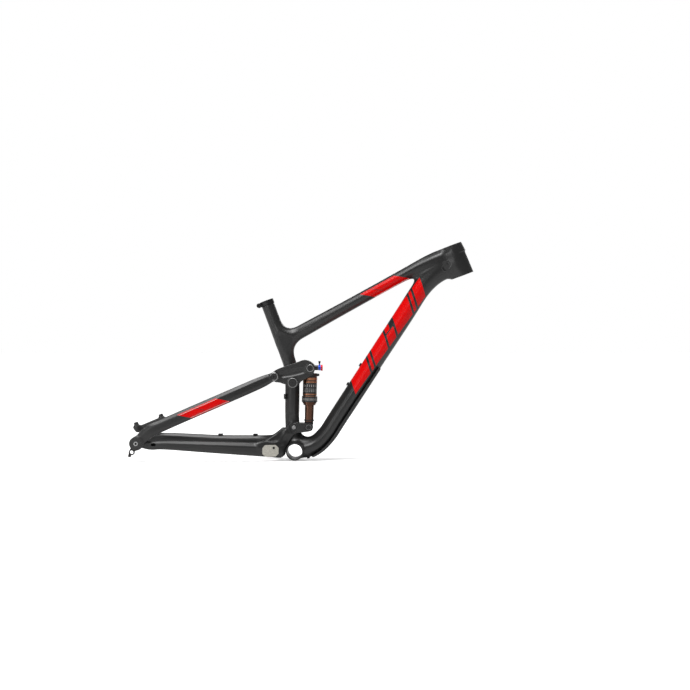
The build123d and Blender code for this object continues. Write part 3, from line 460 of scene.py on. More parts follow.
def front_field(p):
    """The moulded main frame: tubes that flow into the head tube, the seat tube and the shell."""
    head = cylinder(p, HEAD_LOW - HEAD_UP * OVERRUN, HEAD_TOP + HEAD_UP * OVERRUN, *HEAD_RADII)
    top = member(p, TOP_TUBE, ((0.25, 0.35), (0.2, 0.3)), 5)
    down = member(p, DOWN_TUBE, ((0.35, 0.4), (0.3, 0.4)), 6)
    crown = smooth_min(smooth_min(top, down, 26), head, 22)
    band = cylinder(p, HEAD_TOP - HEAD_UP * BAND_HEIGHT, HEAD_TOP + HEAD_UP * OVERRUN, BAND_R, HEAD_RADII[1] + 0.2)
    crown = smooth_min(crown, band, 1.0)
    neck_end = SEAT_TOP - SEAT_UP * NECK_LENGTH
    seat = cylinder(p, SEAT_TOP - SEAT_UP * SEAT_BORE_DEPTH, neck_end, SEAT_R)
    neck = cylinder(p, neck_end - SEAT_UP * 4, SEAT_TOP + SEAT_UP * OVERRUN, NECK_R)
    mast = member(p, MAST, ((0.3, 0.35), (0.3, 0.35)), 3)
    body = smooth_min(crown, smooth_min(seat, mast, 2.0), 42)
    # The sides stay flush with the seat tube where the top tube meets it.
    away = np.hypot(p[:, 0] - JUNCTION[0], p[:, 2] - JUNCTION[1])
    body = smooth_max(body, np.abs(p[:, 1]) - SEAT_R - 0.4 - 0.22 * np.maximum(away - 26, 0), 2.0)
    # The back of the seat tube runs straight down to the mast.
    fore = np.array([SEAT_UP[2], 0, -SEAT_UP[0]])
    behind = -((p - SEAT_TOP) @ fore) - SEAT_R - 0.3 - np.maximum(MAST_TOP - p[:, 2], 0)
    body = smooth_max(body, behind, 1.5)
    body = smooth_min(body, disc(p, (0, 0), SHELL_R, -50, 50), 9)
    body = smooth_min(body, disc(p, MAIN, PIVOT_BOSS_R, -FRAME_HALF, FRAME_HALF), 5)
    body = smooth_min(body, disc(p, ROCKER, ROCKER_LUG_R, -MAST_HALF, MAST_HALF), 4)
    # A shallow oval round each cable port.
    oval = np.maximum(stadium(p[:, 0], p[:, 2]), 12 - np.abs(p[:, 1]))
    body = np.maximum(body, -np.maximum(oval, -(body + PORT_DEPTH)))
    return np.minimum(body, neck)


def head_cutter():
    """Both ends of the head tube, cut square, with their bearing seats and the bore between."""
    length = float(np.linalg.norm(HEAD_TOP - HEAD_LOW))
    lip, lower_lip, upper_lip = CUP_LIP
    low_bore, high_bore = STEERER_RADII
    profile = [
        (-40, 0), (-40, CLEAR), (0, CLEAR), (0, LOWER_CUP_R + lower_lip), (lip, LOWER_CUP_R), (CUP, LOWER_CUP_R),
        (CUP, low_bore), (length - CUP, high_bore), (length - CUP, UPPER_CUP_R), (length - lip, UPPER_CUP_R),
        (length, UPPER_CUP_R + upper_lip), (length, CLEAR), (length + 40, CLEAR), (length + 40, 0),
    ]
    return lathe("cutter", HEAD_LOW, HEAD_UP, profile)


def shell_cutter():
    """Both ends of the bottom bracket shell, cut square, and its press-fit bore."""
    start = -80
    low_face, high_face = -start - BB["length_mm"] / 2, -start + BB["length_mm"] / 2
    mouth = PRESS_FIT_R + PRESS_FIT_LIP
    return lathe("cutter", (0, start, 0), (0, 1, 0), [
        (0, 0), (0, CLEAR), (low_face, CLEAR), (low_face, mouth), (low_face + PRESS_FIT_LIP, PRESS_FIT_R),
        (high_face - PRESS_FIT_LIP, PRESS_FIT_R), (high_face, mouth), (high_face, CLEAR), (-2 * start, CLEAR),
        (-2 * start, 0)])


def seat_cutter():
    """The bore for the seat post, its mouth, and the end cut square."""
    length = SEAT_BORE_DEPTH + 1
    return lathe("cutter", SEAT_TOP - SEAT_UP * length, SEAT_UP, [
        (0, 0), (0, SEAT_BORE_R), (SEAT_BORE_DEPTH, SEAT_BORE_R), (length, SEAT_BORE_R + 0.8), (length, 40),
        (length + 39, 40), (length + 39, 0)])


def build_front_triangle():
    low, high = np.array([-122.0, -56, -34]), np.array([516.0, 56, 604])
    piece = shell("main_frame", front_field, low, high, STEP)
    slot = box_mesh("cutter", SEAT_TOP - SEAT_UP * 10 + np.array(SLOT_AT), SLOT_HALF, SEAT_UP)
    tools = [head_cutter(), shell_cutter(), seat_cutter(), slot]
    tools += [bore(MAIN, BEARING_R, BEARING_IN * side, CLEAR * side) for side in (-1, 1)]
    tools += [bore(ROCKER, ROCKER_BORE_R, -CLEAR, CLEAR)]
    cut_away(piece, tools)
    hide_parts("head_tube", "top_tube", "down_tube", "seat_tube", "seat_mast", "bottom_bracket_shell",
                "main_pivot_boss", "rocker_pivot_boss")
    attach(piece, "front_triangle")
    return piece


def box_mesh(name, centre, half, up):
    """Closed box with its third side along up, in the middle plane."""
    up = np.asarray(up, float)
    side = np.array([0.0, 1.0, 0.0])
    fore = np.cross(side, up)
    corners = [np.asarray(centre) + fore * half[0] * a + side * half[1] * b + up * half[2] * c
               for a in (-1, 1) for b in (-1, 1) for c in (-1, 1)]
    faces = [(0, 1, 3, 2), (4, 6, 7, 5), (0, 4, 5, 1), (2, 3, 7, 6), (0, 2, 6, 4), (1, 5, 7, 3)]
    return make_object(name, corners, faces, smooth=False)


# ------------------------------------------------------------------ chainstay
YOKE_IN, YOKE_OUT = 20.1, 28.6              # inner and outer faces of the yoke's plates
POCKET_DEPTH = 3.2
HUB_HALF, DROP, DROP_R = 74.0, 6.0, 17.0    # half hub width; thickness and radius of the dropouts
SHOCK_BOLT_R = 4.05
LEG_RING_R = 12.6                           # the dropout's own disc shows through this hole in the leg
WINDOW = (AXLE[0] + 46.6, AXLE[1] - 3.0)    # oval pocket in the drive-side leg
WINDOW_R, WINDOW_FLOOR, WINDOW_STRETCH = 4.0, -71, 0.7


def yoke_plate():
    """Outline of a yoke plate, from the shock's eye over the main pivot and down to the legs."""
    (px, pz), (sx, sz) = MAIN, EYE_LOW
    return [
        (sx + 9.5, sz + 4), (sx + 2, sz + 10), (px + 16, pz + 10.5), (px - 5, pz + 10.5),
        (px - 17, pz + 2), (px - 26, pz - 20), (px - 37, pz - 40), (px - 50, pz - 46),
        (px - 50, pz - 70), (px - 38, pz - 78), (px - 27, pz - 62), (px - 15, pz - 40),
        (px + 1, pz - 16), (px + 20, pz - 13), (sx + 3, sz - 9.5), (sx + 9.5, sz - 5),
    ]


def leg_stations(side):
    """Chainstay leg from the dropout to the yoke. The drive-side leg runs lower, clear of the chain."""
    x0 = AXLE[0]
    if side < 0:
        rear, mid, front, depths = 20.4, 13.0, 4.0, (24.4, 32.4, 39.0)
    else:
        rear, mid, front, depths = 32.0, 25.0, 22.0, (26.0, 30.0, 35.0)
    rows = [
        (x0 + 13, HUB_HALF + 3, AXLE[1] - 1, depths[0] - 3, DROP, 2.4),
        (x0 + 40, HUB_HALF + 0.2, rear - 1, depths[0], 10, 4.0),
        (x0 + 80, HUB_HALF - 2, rear, depths[0] + 1, 16, 7),
        (x0 + 220, HUB_HALF - 11, mid, depths[1], 19, 8),
        (x0 + 340, HUB_HALF - 25, front + 2, depths[2] - 2, 19, 8),
        (x0 + 384, YOKE_OUT + 11, front, depths[2], 17, 8),
        (x0 + 400, YOKE_OUT + 1, front + 3, depths[2] - 9, 15, 6),
    ]
    return [(x, side * y, z, depth / 2, width / 2, corner) for x, y, z, depth, width, corner in rows]


def chain_field(p):
    """Two legs, the yoke's plates and the bridge between them."""
    px, pz = MAIN
    body = np.full(len(p), FAR)
    outline = curved(yoke_plate(), 3)
    for side in (-1, 1):
        plate = slab(p, outline, side * YOKE_IN, side * YOKE_OUT, 1.5, 1.6)
        leg = member(p, leg_stations(side), ((0.4, 0.2), (0.55, 0.35)), 0.9)
        drop = disc(p, AXLE, DROP_R, side * HUB_HALF, side * (HUB_HALF + DROP), 1.0)
        body = smooth_min(np.minimum(body, plate), smooth_min(leg, drop, 5), 22)
    # Each leg sweeps up into its plate.
    for side in (-1, 1):
        sweep = [
            (px - 98, side * 50, pz - 48 - 3 * (side < 0), 8, 5, 4), (px - 70, side * 40, pz - 41, 11, 6, 5),
            (px - 48, side * 30, pz - 30, 13, 6, 5), (px - 26, side * 25, pz - 10, 11, 4.5, 4),
        ]
        body = smooth_min(body, member(p, sweep), 12)
    bridge = disc(p, (px - 44, pz - 54), 9.0, -YOKE_IN - 4, YOKE_IN + 4)
    body = smooth_min(body, bridge, 5)
    # The seat tube stands in the slot between the plates, and the shell turns clear of their lower edge.
    across = np.abs(p[:, 1])
    slot = np.maximum(-34.0 - p[:, 0], across - YOKE_IN)
    clearance = np.hypot(p[:, 0], p[:, 2]) - SHELL_R - 1.6
    body = smooth_max(smooth_max(body, -slot, 0.8), -clearance, 0.8)
    # Shallow pockets in the outer faces, around both bolts.
    corners = [(px - 12, pz + 7), (px + 11, pz + 7), (px + 3, pz - 12), (px - 4, pz - 13)]
    pocket = polygon(p[:, 0], p[:, 2], corners) - 2
    well = np.hypot(p[:, 0] - EYE_LOW[0], p[:, 2] - EYE_LOW[1]) - 8.6
    for flat in (pocket, well):
        body = smooth_max(body, -np.maximum(flat, YOKE_OUT - POCKET_DEPTH - across), 0.8)
    return body


def build_chainstay():
    low, high = np.array([AXLE[0] - 24, -92.0, -34]), np.array([EYE_LOW[0] + 16, 92.0, 96])
    piece = shell("chainstay_shell", chain_field, low, high, STEP * 0.8)
    tools = []
    for side in (-1, 1):
        tools += [bore(EYE_LOW, SHOCK_BOLT_R, side * 10, side * CLEAR),
                  bore(AXLE, LEG_RING_R, side * 60, side * 110)]
    window = bore(WINDOW, WINDOW_R, WINDOW_FLOOR, -100)
    for vertex in window.data.vertices:
        vertex.co.x += (vertex.co.x - WINDOW[0] * MM) * WINDOW_STRETCH
    tools.append(window)
    cut_away(piece, tools)
    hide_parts("chainstay_yoke", "chainstay_right", "chainstay_left")
    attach(piece, "chainstay")
    return piece


# ------------------------------------------------------------------ seatstay
STAY_IN, STAY_OUT, EYE_R = 32.2, 41.8, 12.8     # faces and radius of the front eye
RING_IN, RING_OUT, RING_R = 80.4, 88.4, 19.0    # faces and radius of the axle ring
WING_IN, WING_OUT = 62.5, 83.5                  # faces of the plate that carries the brake posts
POST_RADII, POST_LENGTH = (6.0, 7.0), 20
INSERT_R, INSERT_DEPTH = 4.2, 12
STAY_BOLT_R, RING_BORE_R = 4.05, 12.0


def stay_stations(side):
    """Seatstay leg from the axle ring to the front eye."""
    (x0, z0), (x1, z1) = AXLE, STAY
    slope = (z1 - z0 - 34) / (x1 - x0 - 34)

    def at(x, y, depth, width, corner):
        return (x, side * y, z1 + (x - x1) * slope, depth / 2, width / 2, corner)

    return [
        (x0 + 4, side * 84.4, z0 + 4, 15, 4, 3), (x0 + 22, side * 84.4, z0 + 21, 16.5, 4, 3),
        (x0 + 40, side * 82, z0 + 36, 17.5, 5.5, 4.2), at(x0 + 74, 76, 34, 16, 6.5),
        at(x0 + 214, 60, 33, 17, 6.5), at(x1 - 46, 43.5, 32, 14, 5.5),
        (x1 - 8, side * 37, z1 - 3, 12, 4.8, 3.5),
    ]


def brake_posts():
    """Top of each brake post and the way the posts point down."""
    tops = []
    for name in ("brake_post_rear", "brake_post_front"):
        spot, way = place(name)
        tops.append(spot + way * MOUNTS[name]["dims"]["length_mm"] / 2)
    return tops, -way


def stay_field(p):
    """Two legs with their rings and eyes, the bridge, and the plate with the brake posts."""
    body = np.full(len(p), FAR)
    for side in (-1, 1):
        leg = member(p, stay_stations(side), ((0.42, 0.25), (0.5, 0.4)), 0.9)
        ring = disc(p, AXLE, RING_R, side * RING_IN, side * RING_OUT, 1.2)
        eye = disc(p, STAY, EYE_R, side * STAY_IN, side * STAY_OUT, 1.2)
        leg = smooth_min(smooth_min(leg, ring, 6), eye, 5)
        leg = smooth_max(leg, STAY_IN - side * p[:, 1], 1.0)
        body = np.minimum(body, leg)
    bridge = cylinder(p, (STAY[0] - 32, -40, STAY[1] - 14), (STAY[0] - 32, 40, STAY[1] - 14), 8)
    body = smooth_min(body, bridge, 5)
    tops, down = brake_posts()
    rear, front = tops
    outline = [
        (AXLE[0] - 20, AXLE[1] + 24), (rear[0] - 5, rear[2] - 15), (rear[0] + 12, rear[2] - 12),
        (front[0] - 10, front[2] - 15), (front[0] + 12, front[2] - 11), (front[0] + 4, front[2] - 38),
        (AXLE[0] + 30, AXLE[1] + 24),
    ]
    wing = slab(p, outline, WING_IN, WING_OUT, 2.0, 2.0)
    for top in tops:
        wing = smooth_min(wing, cylinder(p, top, top + down * POST_LENGTH, *POST_RADII), 9)
    hub = disc(p, AXLE, 21.0, 40, RING_IN - 0.4)
    return smooth_min(body, smooth_max(wing, -hub, 0.8), 4)


def build_seatstay():
    low, high = np.array([AXLE[0] - 42, -94.0, -6]), np.array([STAY[0] + 20, 94.0, 232])
    piece = shell("seatstay_shell", stay_field, low, high, STEP * 0.8)
    tools = []
    for side in (-1, 1):
        tools += [bore(STAY, STAY_BOLT_R, side * 20, side * CLEAR),
                  bore(AXLE, RING_BORE_R, side * 70, side * 110)]
    # Each post ends square at its mount, with a bore for its threaded insert.
    over, wide = 6, 14
    depth = over + INSERT_DEPTH
    profile = [(0, 0), (0, wide), (over, wide), (over, INSERT_R), (depth, INSERT_R), (depth, 0)]
    tops, down = brake_posts()
    tools += [lathe("cutter", top - down * over, down, profile) for top in tops]
    cut_away(piece, tools)
    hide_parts("seatstay_right", "seatstay_left", "seatstay_bridge")
    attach(piece, "seatstay")
    return piece


# ------------------------------------------------------------------ rocker
ARM_IN, ARM_OUT = 23.8, 31.8
ARM_BOSS_R, ARM_HUB_R = 12.8, 14.2
HUB_BORE_R, STAY_SEAT_R, EYE_BOLT_R = 12.0, 9.5, 4.05
VALLEY_DEPTH, VALLEY_R, VALLEY_SWELL = 3.9, 10.5, 3.5


def arm_plate():
    """Outline of a rocker arm round its three pivots."""
    (rx, rz), (sx, sz), (ux, uz) = ROCKER, STAY, EYE_TOP
    return [
        (sx - 2, sz + 12), (sx + 27, sz + 27), (rx + 10, uz + 15), (ux - 17, uz + 22), (ux + 2, uz + 16),
        (ux + 12, uz + 2), (ux + 5, uz - 17), (ux - 13, uz - 29), (rx + 23, rz + 4), (rx + 12, rz - 6),
        (rx - 12, rz - 6), (rx - 35, rz + 1), (sx, sz - 12),
    ]


def build_rocker_arm(side, name):
    outline = curved(arm_plate())
    span = EYE_TOP - STAY
    near, far = STAY + 0.24 * span + np.array([0, -1.5]), STAY + 0.80 * span + np.array([0, -2.5])

    def field(p):
        body = slab(p, outline, side * ARM_IN, side * ARM_OUT, 1.0, 1.8)
        for at in (STAY, EYE_TOP):
            body = smooth_min(body, disc(p, at, ARM_BOSS_R, side * ARM_IN, side * ARM_OUT, 1.4), 3)
        body = smooth_min(body, disc(p, ROCKER, ARM_HUB_R, side * ARM_IN, side * ARM_OUT, 1.4), 3)
        # A long valley between the bosses, widest in its middle.
        run = far - near
        share = np.clip(((p[:, [0, 2]] - near) @ run) / (run @ run), 0, 1)
        spot = near + share[:, None] * run
        radius = VALLEY_R + VALLEY_SWELL * np.sin(np.pi * share)
        aside = np.hypot(p[:, 0] - spot[:, 0], p[:, 2] - spot[:, 1])
        hollow = np.hypot(aside, p[:, 1] - side * (ARM_OUT + radius - VALLEY_DEPTH)) - radius
        return smooth_max(body, -hollow, 2.0)

    faces = sorted((side * ARM_IN, side * ARM_OUT))
    low = np.array([STAY[0] - 20, faces[0] - 4, ROCKER[1] - 22])
    high = np.array([EYE_TOP[0] + 20, faces[1] + 4, EYE_TOP[1] + 30])
    piece = shell(name, field, low, high, STEP * 0.55)
    holes = ((ROCKER, HUB_BORE_R), (STAY, STAY_SEAT_R), (EYE_TOP, EYE_BOLT_R))
    cut_away(piece, [bore(at, radius, side * 20, side * 40) for at, radius in holes])
    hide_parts(name.replace("_shell", ""))
    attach(piece, "rocker")
    return piece


# ------------------------------------------------------------------ materials
class Graph:
    """Short names for the few shader nodes that the materials use."""

    def __init__(self, name):
        self.material = bpy.data.materials.new(name)
        self.material.use_nodes = True
        self.tree = self.material.node_tree
        self.shader = self.tree.nodes["Principled BSDF"]
        self.point = self.node("ShaderNodeTexCoord").outputs["Object"]

    def node(self, kind, **settings):
        made = self.tree.nodes.new(kind)
        for key, value in settings.items():
            setattr(made, key, value)
        return made

    def feed(self, socket, value):
        if isinstance(value, bpy.types.NodeSocket):
            self.tree.links.new(value, socket)
        else:
            socket.default_value = value

    def math(self, operation, *values):
        made = self.node("ShaderNodeMath", operation=operation)
        for socket, value in zip(made.inputs, values):
            self.feed(socket, value)
        return made.outputs[0]

    def noise(self, scale, detail=3.0, stretch=None):
        point = self.point
        if stretch:
            mapping = self.node("ShaderNodeMapping")
            self.feed(mapping.inputs["Vector"], point)
            mapping.inputs["Scale"].default_value = stretch
            point = mapping.outputs[0]
        made = self.node("ShaderNodeTexNoise")
        self.feed(made.inputs["Vector"], point)
        made.inputs["Scale"].default_value = scale
        made.inputs["Detail"].default_value = detail
        return made.outputs["Fac"]

    def spread(self, value, low, high, start=0.3, end=0.7):
        made = self.node("ShaderNodeMapRange")
        for socket, number in zip(list(made.inputs)[:5], (value, start, end, low, high)):
            self.feed(socket, number)
        return made.outputs[0]

    def mix(self, share, a, b):
        made = self.node("ShaderNodeMix", data_type="RGBA")
        self.feed(made.inputs[0], share)
        self.feed(made.inputs[6], a)
        self.feed(made.inputs[7], b)
        return made.outputs[2]

    def coordinate(self, origin, direction):
        """Distance from origin along direction, in millimetres; both are (x, z) or (x, y, z)."""
        if len(origin) == 2:
            origin, direction = (origin[0], 0, origin[1]), (direction[0], 0, direction[1])
        less = self.node("ShaderNodeVectorMath", operation="SUBTRACT")
        self.feed(less.inputs[0], self.point)
        less.inputs[1].default_value = [c * MM for c in origin]
        dot = self.node("ShaderNodeVectorMath", operation="DOT_PRODUCT")
        self.feed(dot.inputs[0], less.outputs[0])
        dot.inputs[1].default_value = [c / MM for c in direction]
        return dot.outputs["Value"]

    def lengthwise(self, origin, direction):
        """Distances along a direction and across it, in the side view."""
        d = np.array(direction, float) / np.linalg.norm(direction)
        return self.coordinate(origin, tuple(d)), self.coordinate(origin, (-d[1], d[0]))

    def band(self, value, low, high, soft=0.25):
        """1 between low and high, 0 outside, with an edge as soft as given."""
        up = self.spread(value, 0.0, 1.0, low - soft, low + soft)
        down = self.spread(value, 1.0, 0.0, high - soft, high + soft)
        return self.math("MULTIPLY", up, down)

    def both(self, *masks):
        out = masks[0]
        for mask in masks[1:]:
            out = self.math("MULTIPLY", out, mask)
        return out

    def any(self, *masks):
        out = masks[0]
        for mask in masks[1:]:
            out = self.math("MAXIMUM", out, mask)
        return out

    def bump(self, height, strength, distance):
        made = self.node("ShaderNodeBump")
        made.inputs["Strength"].default_value = strength
        made.inputs["Distance"].default_value = distance
        self.feed(made.inputs["Height"], height)
        self.feed(self.shader.inputs["Normal"], made.outputs[0])

    def calm(self, *masks, by=0.28):
        """Duller reflections where any of the masks is set, so that a printed colour or a painted shade stays deep.
        """
        if masks:
            socket = self.shader.inputs["Specular IOR Level"]
            before = socket.links[0].from_socket if socket.links else socket.default_value
            self.feed(socket, self.math("SUBTRACT", before, self.math("MULTIPLY", self.any(*masks), by)))

    def retint(self, look):
        """Paints a look over the colour so far."""
        socket = self.shader.inputs["Base Color"]
        self.feed(socket, look(self, socket.links[0].from_socket))

    def set(self, **sockets):
        for name, value in sockets.items():
            self.feed(self.shader.inputs[name.replace("_", " ")], value)


def grey(value):
    return (value, value, value, 1)


def plain(name, dark, light, rough, metallic=0.0, grain=260.0, bump=0.12, depth=0.00006, stretch=None, **extra):
    """Finish with a mottled colour, an uneven gloss and a fine relief."""
    g = Graph(name)
    mottle = g.noise(grain, 4.0, stretch)
    broad = g.noise(14.0, 2.0)
    colour = g.mix(g.spread(mottle, 0.0, 1.0), dark, light)
    colour = g.mix(g.spread(broad, 0.0, 0.25), colour, dark)
    g.set(Base_Color=colour, Metallic=metallic, Roughness=g.spread(mottle, rough[0], rough[1]), **extra)
    g.bump(mottle, bump, depth)
    return g.material


RED, DEEP_RED = (0.58, 0.0, 0.0, 1), (0.5, 0.0, 0.0, 1)
PALE = (0.62, 0.60, 0.58, 1)
GLOSS = 0.42                    # specular level of the lacquer

# Each patch: foot, direction, lean, ends along it, edges across it, place of its slit, places of its pinstripes.
TOP_PATCH = ((139.4, 401.0), (0.8755, 0.4833), 1.25, (54, 162), (-19, 11.5), 87.5, (-15,))
STAY_FOOT = (AXLE[0] + 74, STAY[1] + (AXLE[0] + 74 - STAY[0]) * 0.4349)
STAY_PATCH = (STAY_FOOT, (0.917, 0.3988), 1.4, (45, 159), (-14.5, 9.7), 95, (6.6, -12.2))

# Each block on the down tube: both ends along it, and both edges as shares of BLOCK_HALF.
BLOCK_FOOT, BLOCK_WAY = (163.8, 189.6), (0.5816, 0.8134)
BLOCK_LEAN, BLOCK_HALF = -0.75, 22.0
BLOCKS = [
    (-6, 66, -1, 1), (74, 84, -1, 1), (92, 150, -1, 1), (158, 190, -1, 0.15), (158, 176, 0.3, 1),
    (198, 268, -1, 1), (276, 286, -1, 1), (294, 330, -1, 1),
]


def patch(g, origin, direction, lean, ends, band, slit, stripes):
    """Masks of a slanted block of colour on a tube, with a slit across it, and of its pinstripes."""
    along, across = g.lengthwise(origin, direction)
    leaning = g.math("ADD", along, g.math("MULTIPLY", g.math("SUBTRACT", across, band[1]), lean))
    block = g.both(g.band(leaning, *ends), g.band(across, *band))
    gap = g.both(g.band(leaning, slit - 1.2, slit + 1.2), g.band(across, band[0] + 7, band[1] + 1))
    line = g.both(block, g.any(*[g.band(across, at - 0.45, at + 0.45, 0.15) for at in stripes]))
    return g.both(block, g.math("SUBTRACT", 1.0, gap)), line


def paint(name, graphics=()):
    """Satin charcoal lacquer over carbon fibre, with its colour blocks."""
    g = Graph(name)
    flake = g.noise(1900.0, 2.0)
    cloud = g.noise(9.0, 3.0)
    # The fibre's twill shows faintly through the lacquer.
    weave = g.node("ShaderNodeTexWave", wave_type="BANDS", bands_direction="DIAGONAL")
    g.feed(weave.inputs["Vector"], g.point)
    weave.inputs["Scale"].default_value = 150.0
    weave.inputs["Distortion"].default_value = 0.6
    colour = g.mix(g.spread(cloud, 0.0, 1.0), grey(0.009), grey(0.0135))
    colour = g.mix(g.math("MULTIPLY", weave.outputs["Fac"], 0.12), colour, grey(0.024))
    colour = g.mix(g.spread(flake, 0.0, 0.25, 0.55, 0.75), colour, grey(0.035))
    rough = g.spread(cloud, 0.29, 0.36)
    reds = []
    for graphic in graphics:
        solid, line = patch(g, *graphic)
        reds.append(solid)
        colour = g.mix(solid, colour, g.mix(g.spread(cloud, 0.0, 0.3), RED, DEEP_RED))
        colour = g.mix(line, colour, PALE)
        rough = g.math("SUBTRACT", rough, g.math("MULTIPLY", solid, 0.06))
    g.set(Base_Color=colour, Roughness=rough, Specular_IOR_Level=GLOSS, Coat_Weight=0.06, Coat_Roughness=0.2)
    g.calm(*reds)
    g.bump(flake, 0.05, 0.00002)
    return g


def oval(g, at, way, reach, radius):
    """Distance to a long oval in the side view, as a shader value."""
    along, across = g.coordinate(at, way), g.coordinate(at, (-way[1], way[0]))
    past = g.math("MAXIMUM", g.math("SUBTRACT", g.math("ABSOLUTE", along), reach), 0.0)
    squares = g.math("ADD", g.math("MULTIPLY", past, past), g.math("MULTIPLY", across, across))
    return g.math("SUBTRACT", g.math("SQRT", squares), radius)


def painted_port_groove_and_lip(g, colour):
    """Painted shade as a near-black line in the groove round the cable port's oval, and a painted highlight as a
    pale line on its lip.
    """
    gap = oval(g, tuple(PORT), PORT_WAY, PORT_REACH, PORT_R)
    line = 0.9
    # Painted shade: a near-black line where the groove round the port would lie in shadow.
    colour = g.mix(g.band(gap, -line, line, 0.3), colour, grey(0.002))
    # Painted highlight: a pale line where the lip of the groove would catch the light.
    return g.mix(g.band(gap, line, line + 1.1, 0.4), colour, grey(0.07))


def painted_pocket_shade(g, colour):
    """Painted shade: the pocket in the drive-side leg is painted near black, with dull reflections, where it would
    lie in shadow.
    """
    gap = oval(g, WINDOW, (1.0, 0.0), WINDOW_R * WINDOW_STRETCH, WINDOW_R + 0.2)
    near = g.band(g.coordinate((0, -HUB_HALF, 0), (0, 1, 0)), -20, 20)
    pocket_shade_mask = g.both(near, g.band(gap, -30, 0))
    # The pocket's painted shade: reflections dulled and the colour near black.
    g.calm(pocket_shade_mask, by=GLOSS)
    return g.mix(pocket_shade_mask, colour, grey(0.001))


def tube_blocks(g, colour):
    """A row of slanted red blocks up the down tube."""
    along, across = g.lengthwise(BLOCK_FOOT, BLOCK_WAY)
    leaning = g.math("ADD", along, g.math("MULTIPLY", across, BLOCK_LEAN))
    masks = [g.both(g.band(leaning, start, end), g.band(across, low_side * BLOCK_HALF, high_side * BLOCK_HALF))
             for start, end, low_side, high_side in BLOCKS]
    g.calm(*masks)
    return g.mix(g.any(*masks), colour, RED)


# ------------------------------------------------------------------ small pieces
GUARD_THICK, GUARD_SUNK = 3.8, 0.8
# Rows of x, z, pitch in degrees, depth of the tube, width of the guard.
GUARD_ROWS = [
    (40, 8, 26, 58, 60), (63, 22, 38, 59, 58), (90, 50, 50, 58, 56), (111, 82, 56.8, 58, 54),
    (150, 142, 56.8, 58, 52), (216, 243, 56.8, 57, 48),
]


def guard_field(p):
    """Moulded shield that hugs the underside of the down tube."""
    tube = member(p, DOWN_TUBE)
    keep = []
    for x, z, pitch, depth, width in GUARD_ROWS:
        turn = math.radians(pitch)
        out = depth / 4 + 2.0
        keep.append((x + out * math.sin(turn), 0, z - out * math.cos(turn), depth / 4 - 3, width / 2 + 2, 3))
    skin = smooth_max(tube - GUARD_THICK, -GUARD_SUNK - tube, 0.6)
    return smooth_max(skin, member(p, keep), 2.4)


def build_guard():
    low, high = cad_box("down_tube_guard")
    piece = shell("guard_shell", guard_field, low - 6, high + 6, STEP * 0.8)
    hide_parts("down_tube_guard")
    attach(piece, "front_triangle")
    return piece


SHOCK_DOWN = np.array([EYE_LOW[0] - EYE_TOP[0], 0, EYE_LOW[1] - EYE_TOP[1]])
SHOCK_DOWN /= np.linalg.norm(SHOCK_DOWN)
SHOCK_START = np.array([EYE_TOP[0], 0, EYE_TOP[1]])


def build_shock():
    """The air can, its sleeve and the seal head, turned with their grooves and lips."""
    bore_r = 17.5
    can = [
        (24, bore_r), (24, 18.6), (24.8, 19.4), (26.4, 19.4), (26.8, 20), (33.6, 20), (34, 19.5), (36.4, 19.5),
        (36.8, 20), (40.6, 20), (41, 19.7), (71.4, 19.7), (71.8, 20), (74.6, 20), (75, 19.4), (77.6, 19.4),
        (78, 20), (79, 20), (79, bore_r),
    ]
    sleeve = [
        (79, bore_r), (79, 21.2), (79.8, 22), (81.4, 22), (81.7, 21.7), (91.6, 21.7), (91.9, 22), (94.2, 22),
        (95, 21.2), (95, bore_r),
    ]
    seal = [
        (95, 12.6), (95, 18.9), (95.5, 19.5), (98.4, 19.5), (99, 18.9), (99, 17.2), (102.6, 17.2),
        (103.5, 16.2), (103.5, 12.6),
    ]
    pieces = []
    for name, node, profile, slot in (("shock_can_turned", "shock_air_can", can, "shock_black"),
                                      ("shock_sleeve_turned", "shock_sleeve", sleeve, "shock_black"),
                                      ("shock_seal_turned", "shock_seal_head", seal, "copper_alloy")):
        piece = lathe(name, SHOCK_START, SHOCK_DOWN, profile, 96)
        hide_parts(node)
        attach(piece, "shock_body")
        pieces.append(piece)
    return pieces


def shock_label():
    """Copper bands and a black label with plain pale ticks, placed along the shock's axis."""
    g = Graph("shock_label")
    s = g.coordinate(tuple(SHOCK_START), tuple(SHOCK_DOWN))
    turn = g.math("ARCTAN2", g.coordinate((0, 0, 0), (0, 1, 0)),
                  g.coordinate(tuple(SHOCK_START), tuple(np.cross(SHOCK_DOWN, (0, 1, 0)))))
    copper = g.any(g.band(s, 26.6, 33.8), g.band(s, 36.6, 40.8), g.band(s, 71.6, 74.8), g.band(s, 77.8, 79))
    cell = g.math("FRACT", g.math("MULTIPLY", turn, 3.5))
    tick = g.both(g.band(s, 46, 52, 0.1), g.band(cell, 0.3, 0.52, 0.01))
    row = g.math("FRACT", g.math("MULTIPLY", s, 0.28))
    rows = g.both(g.band(row, 0.1, 0.32, 0.02), g.band(s, 56, 67, 0.1), g.band(cell, 0.25, 0.8, 0.01))
    notch = g.math("FRACT", g.math("MULTIPLY", turn, 6.0))
    scale = g.both(g.band(s, 84, 90.5, 0.1), g.band(notch, 0.1, 0.34, 0.02))
    marks = g.any(tick, rows, scale)
    fine = g.noise(700.0, 3.0)
    colour = g.mix(g.spread(fine, 0.0, 0.5), grey(0.011), grey(0.02))
    colour = g.mix(copper, colour, (0.36, 0.16, 0.085, 1))
    colour = g.mix(g.math("MULTIPLY", marks, 0.75), colour, PALE)
    g.set(Base_Color=colour, Metallic=g.math("MULTIPLY", copper, 0.9), Roughness=g.spread(fine, 0.24, 0.34))
    g.bump(fine, 0.05, 0.00002)
    return g.material


def trim_ring(name, at, face, side, outer, inner, height, body):
    """Turned washer with a rounded lip, proud of a face of the linkage."""
    wall = outer - inner
    profile = [(0, inner), (0, outer), (height * 0.6, outer), (height, outer - wall * 0.25),
               (height, inner + wall * 0.25), (height * 0.6, inner)]
    piece = lathe(name, (at[0], side * face, at[1]), (0, side, 0), profile)
    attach(piece, body)
    return piece


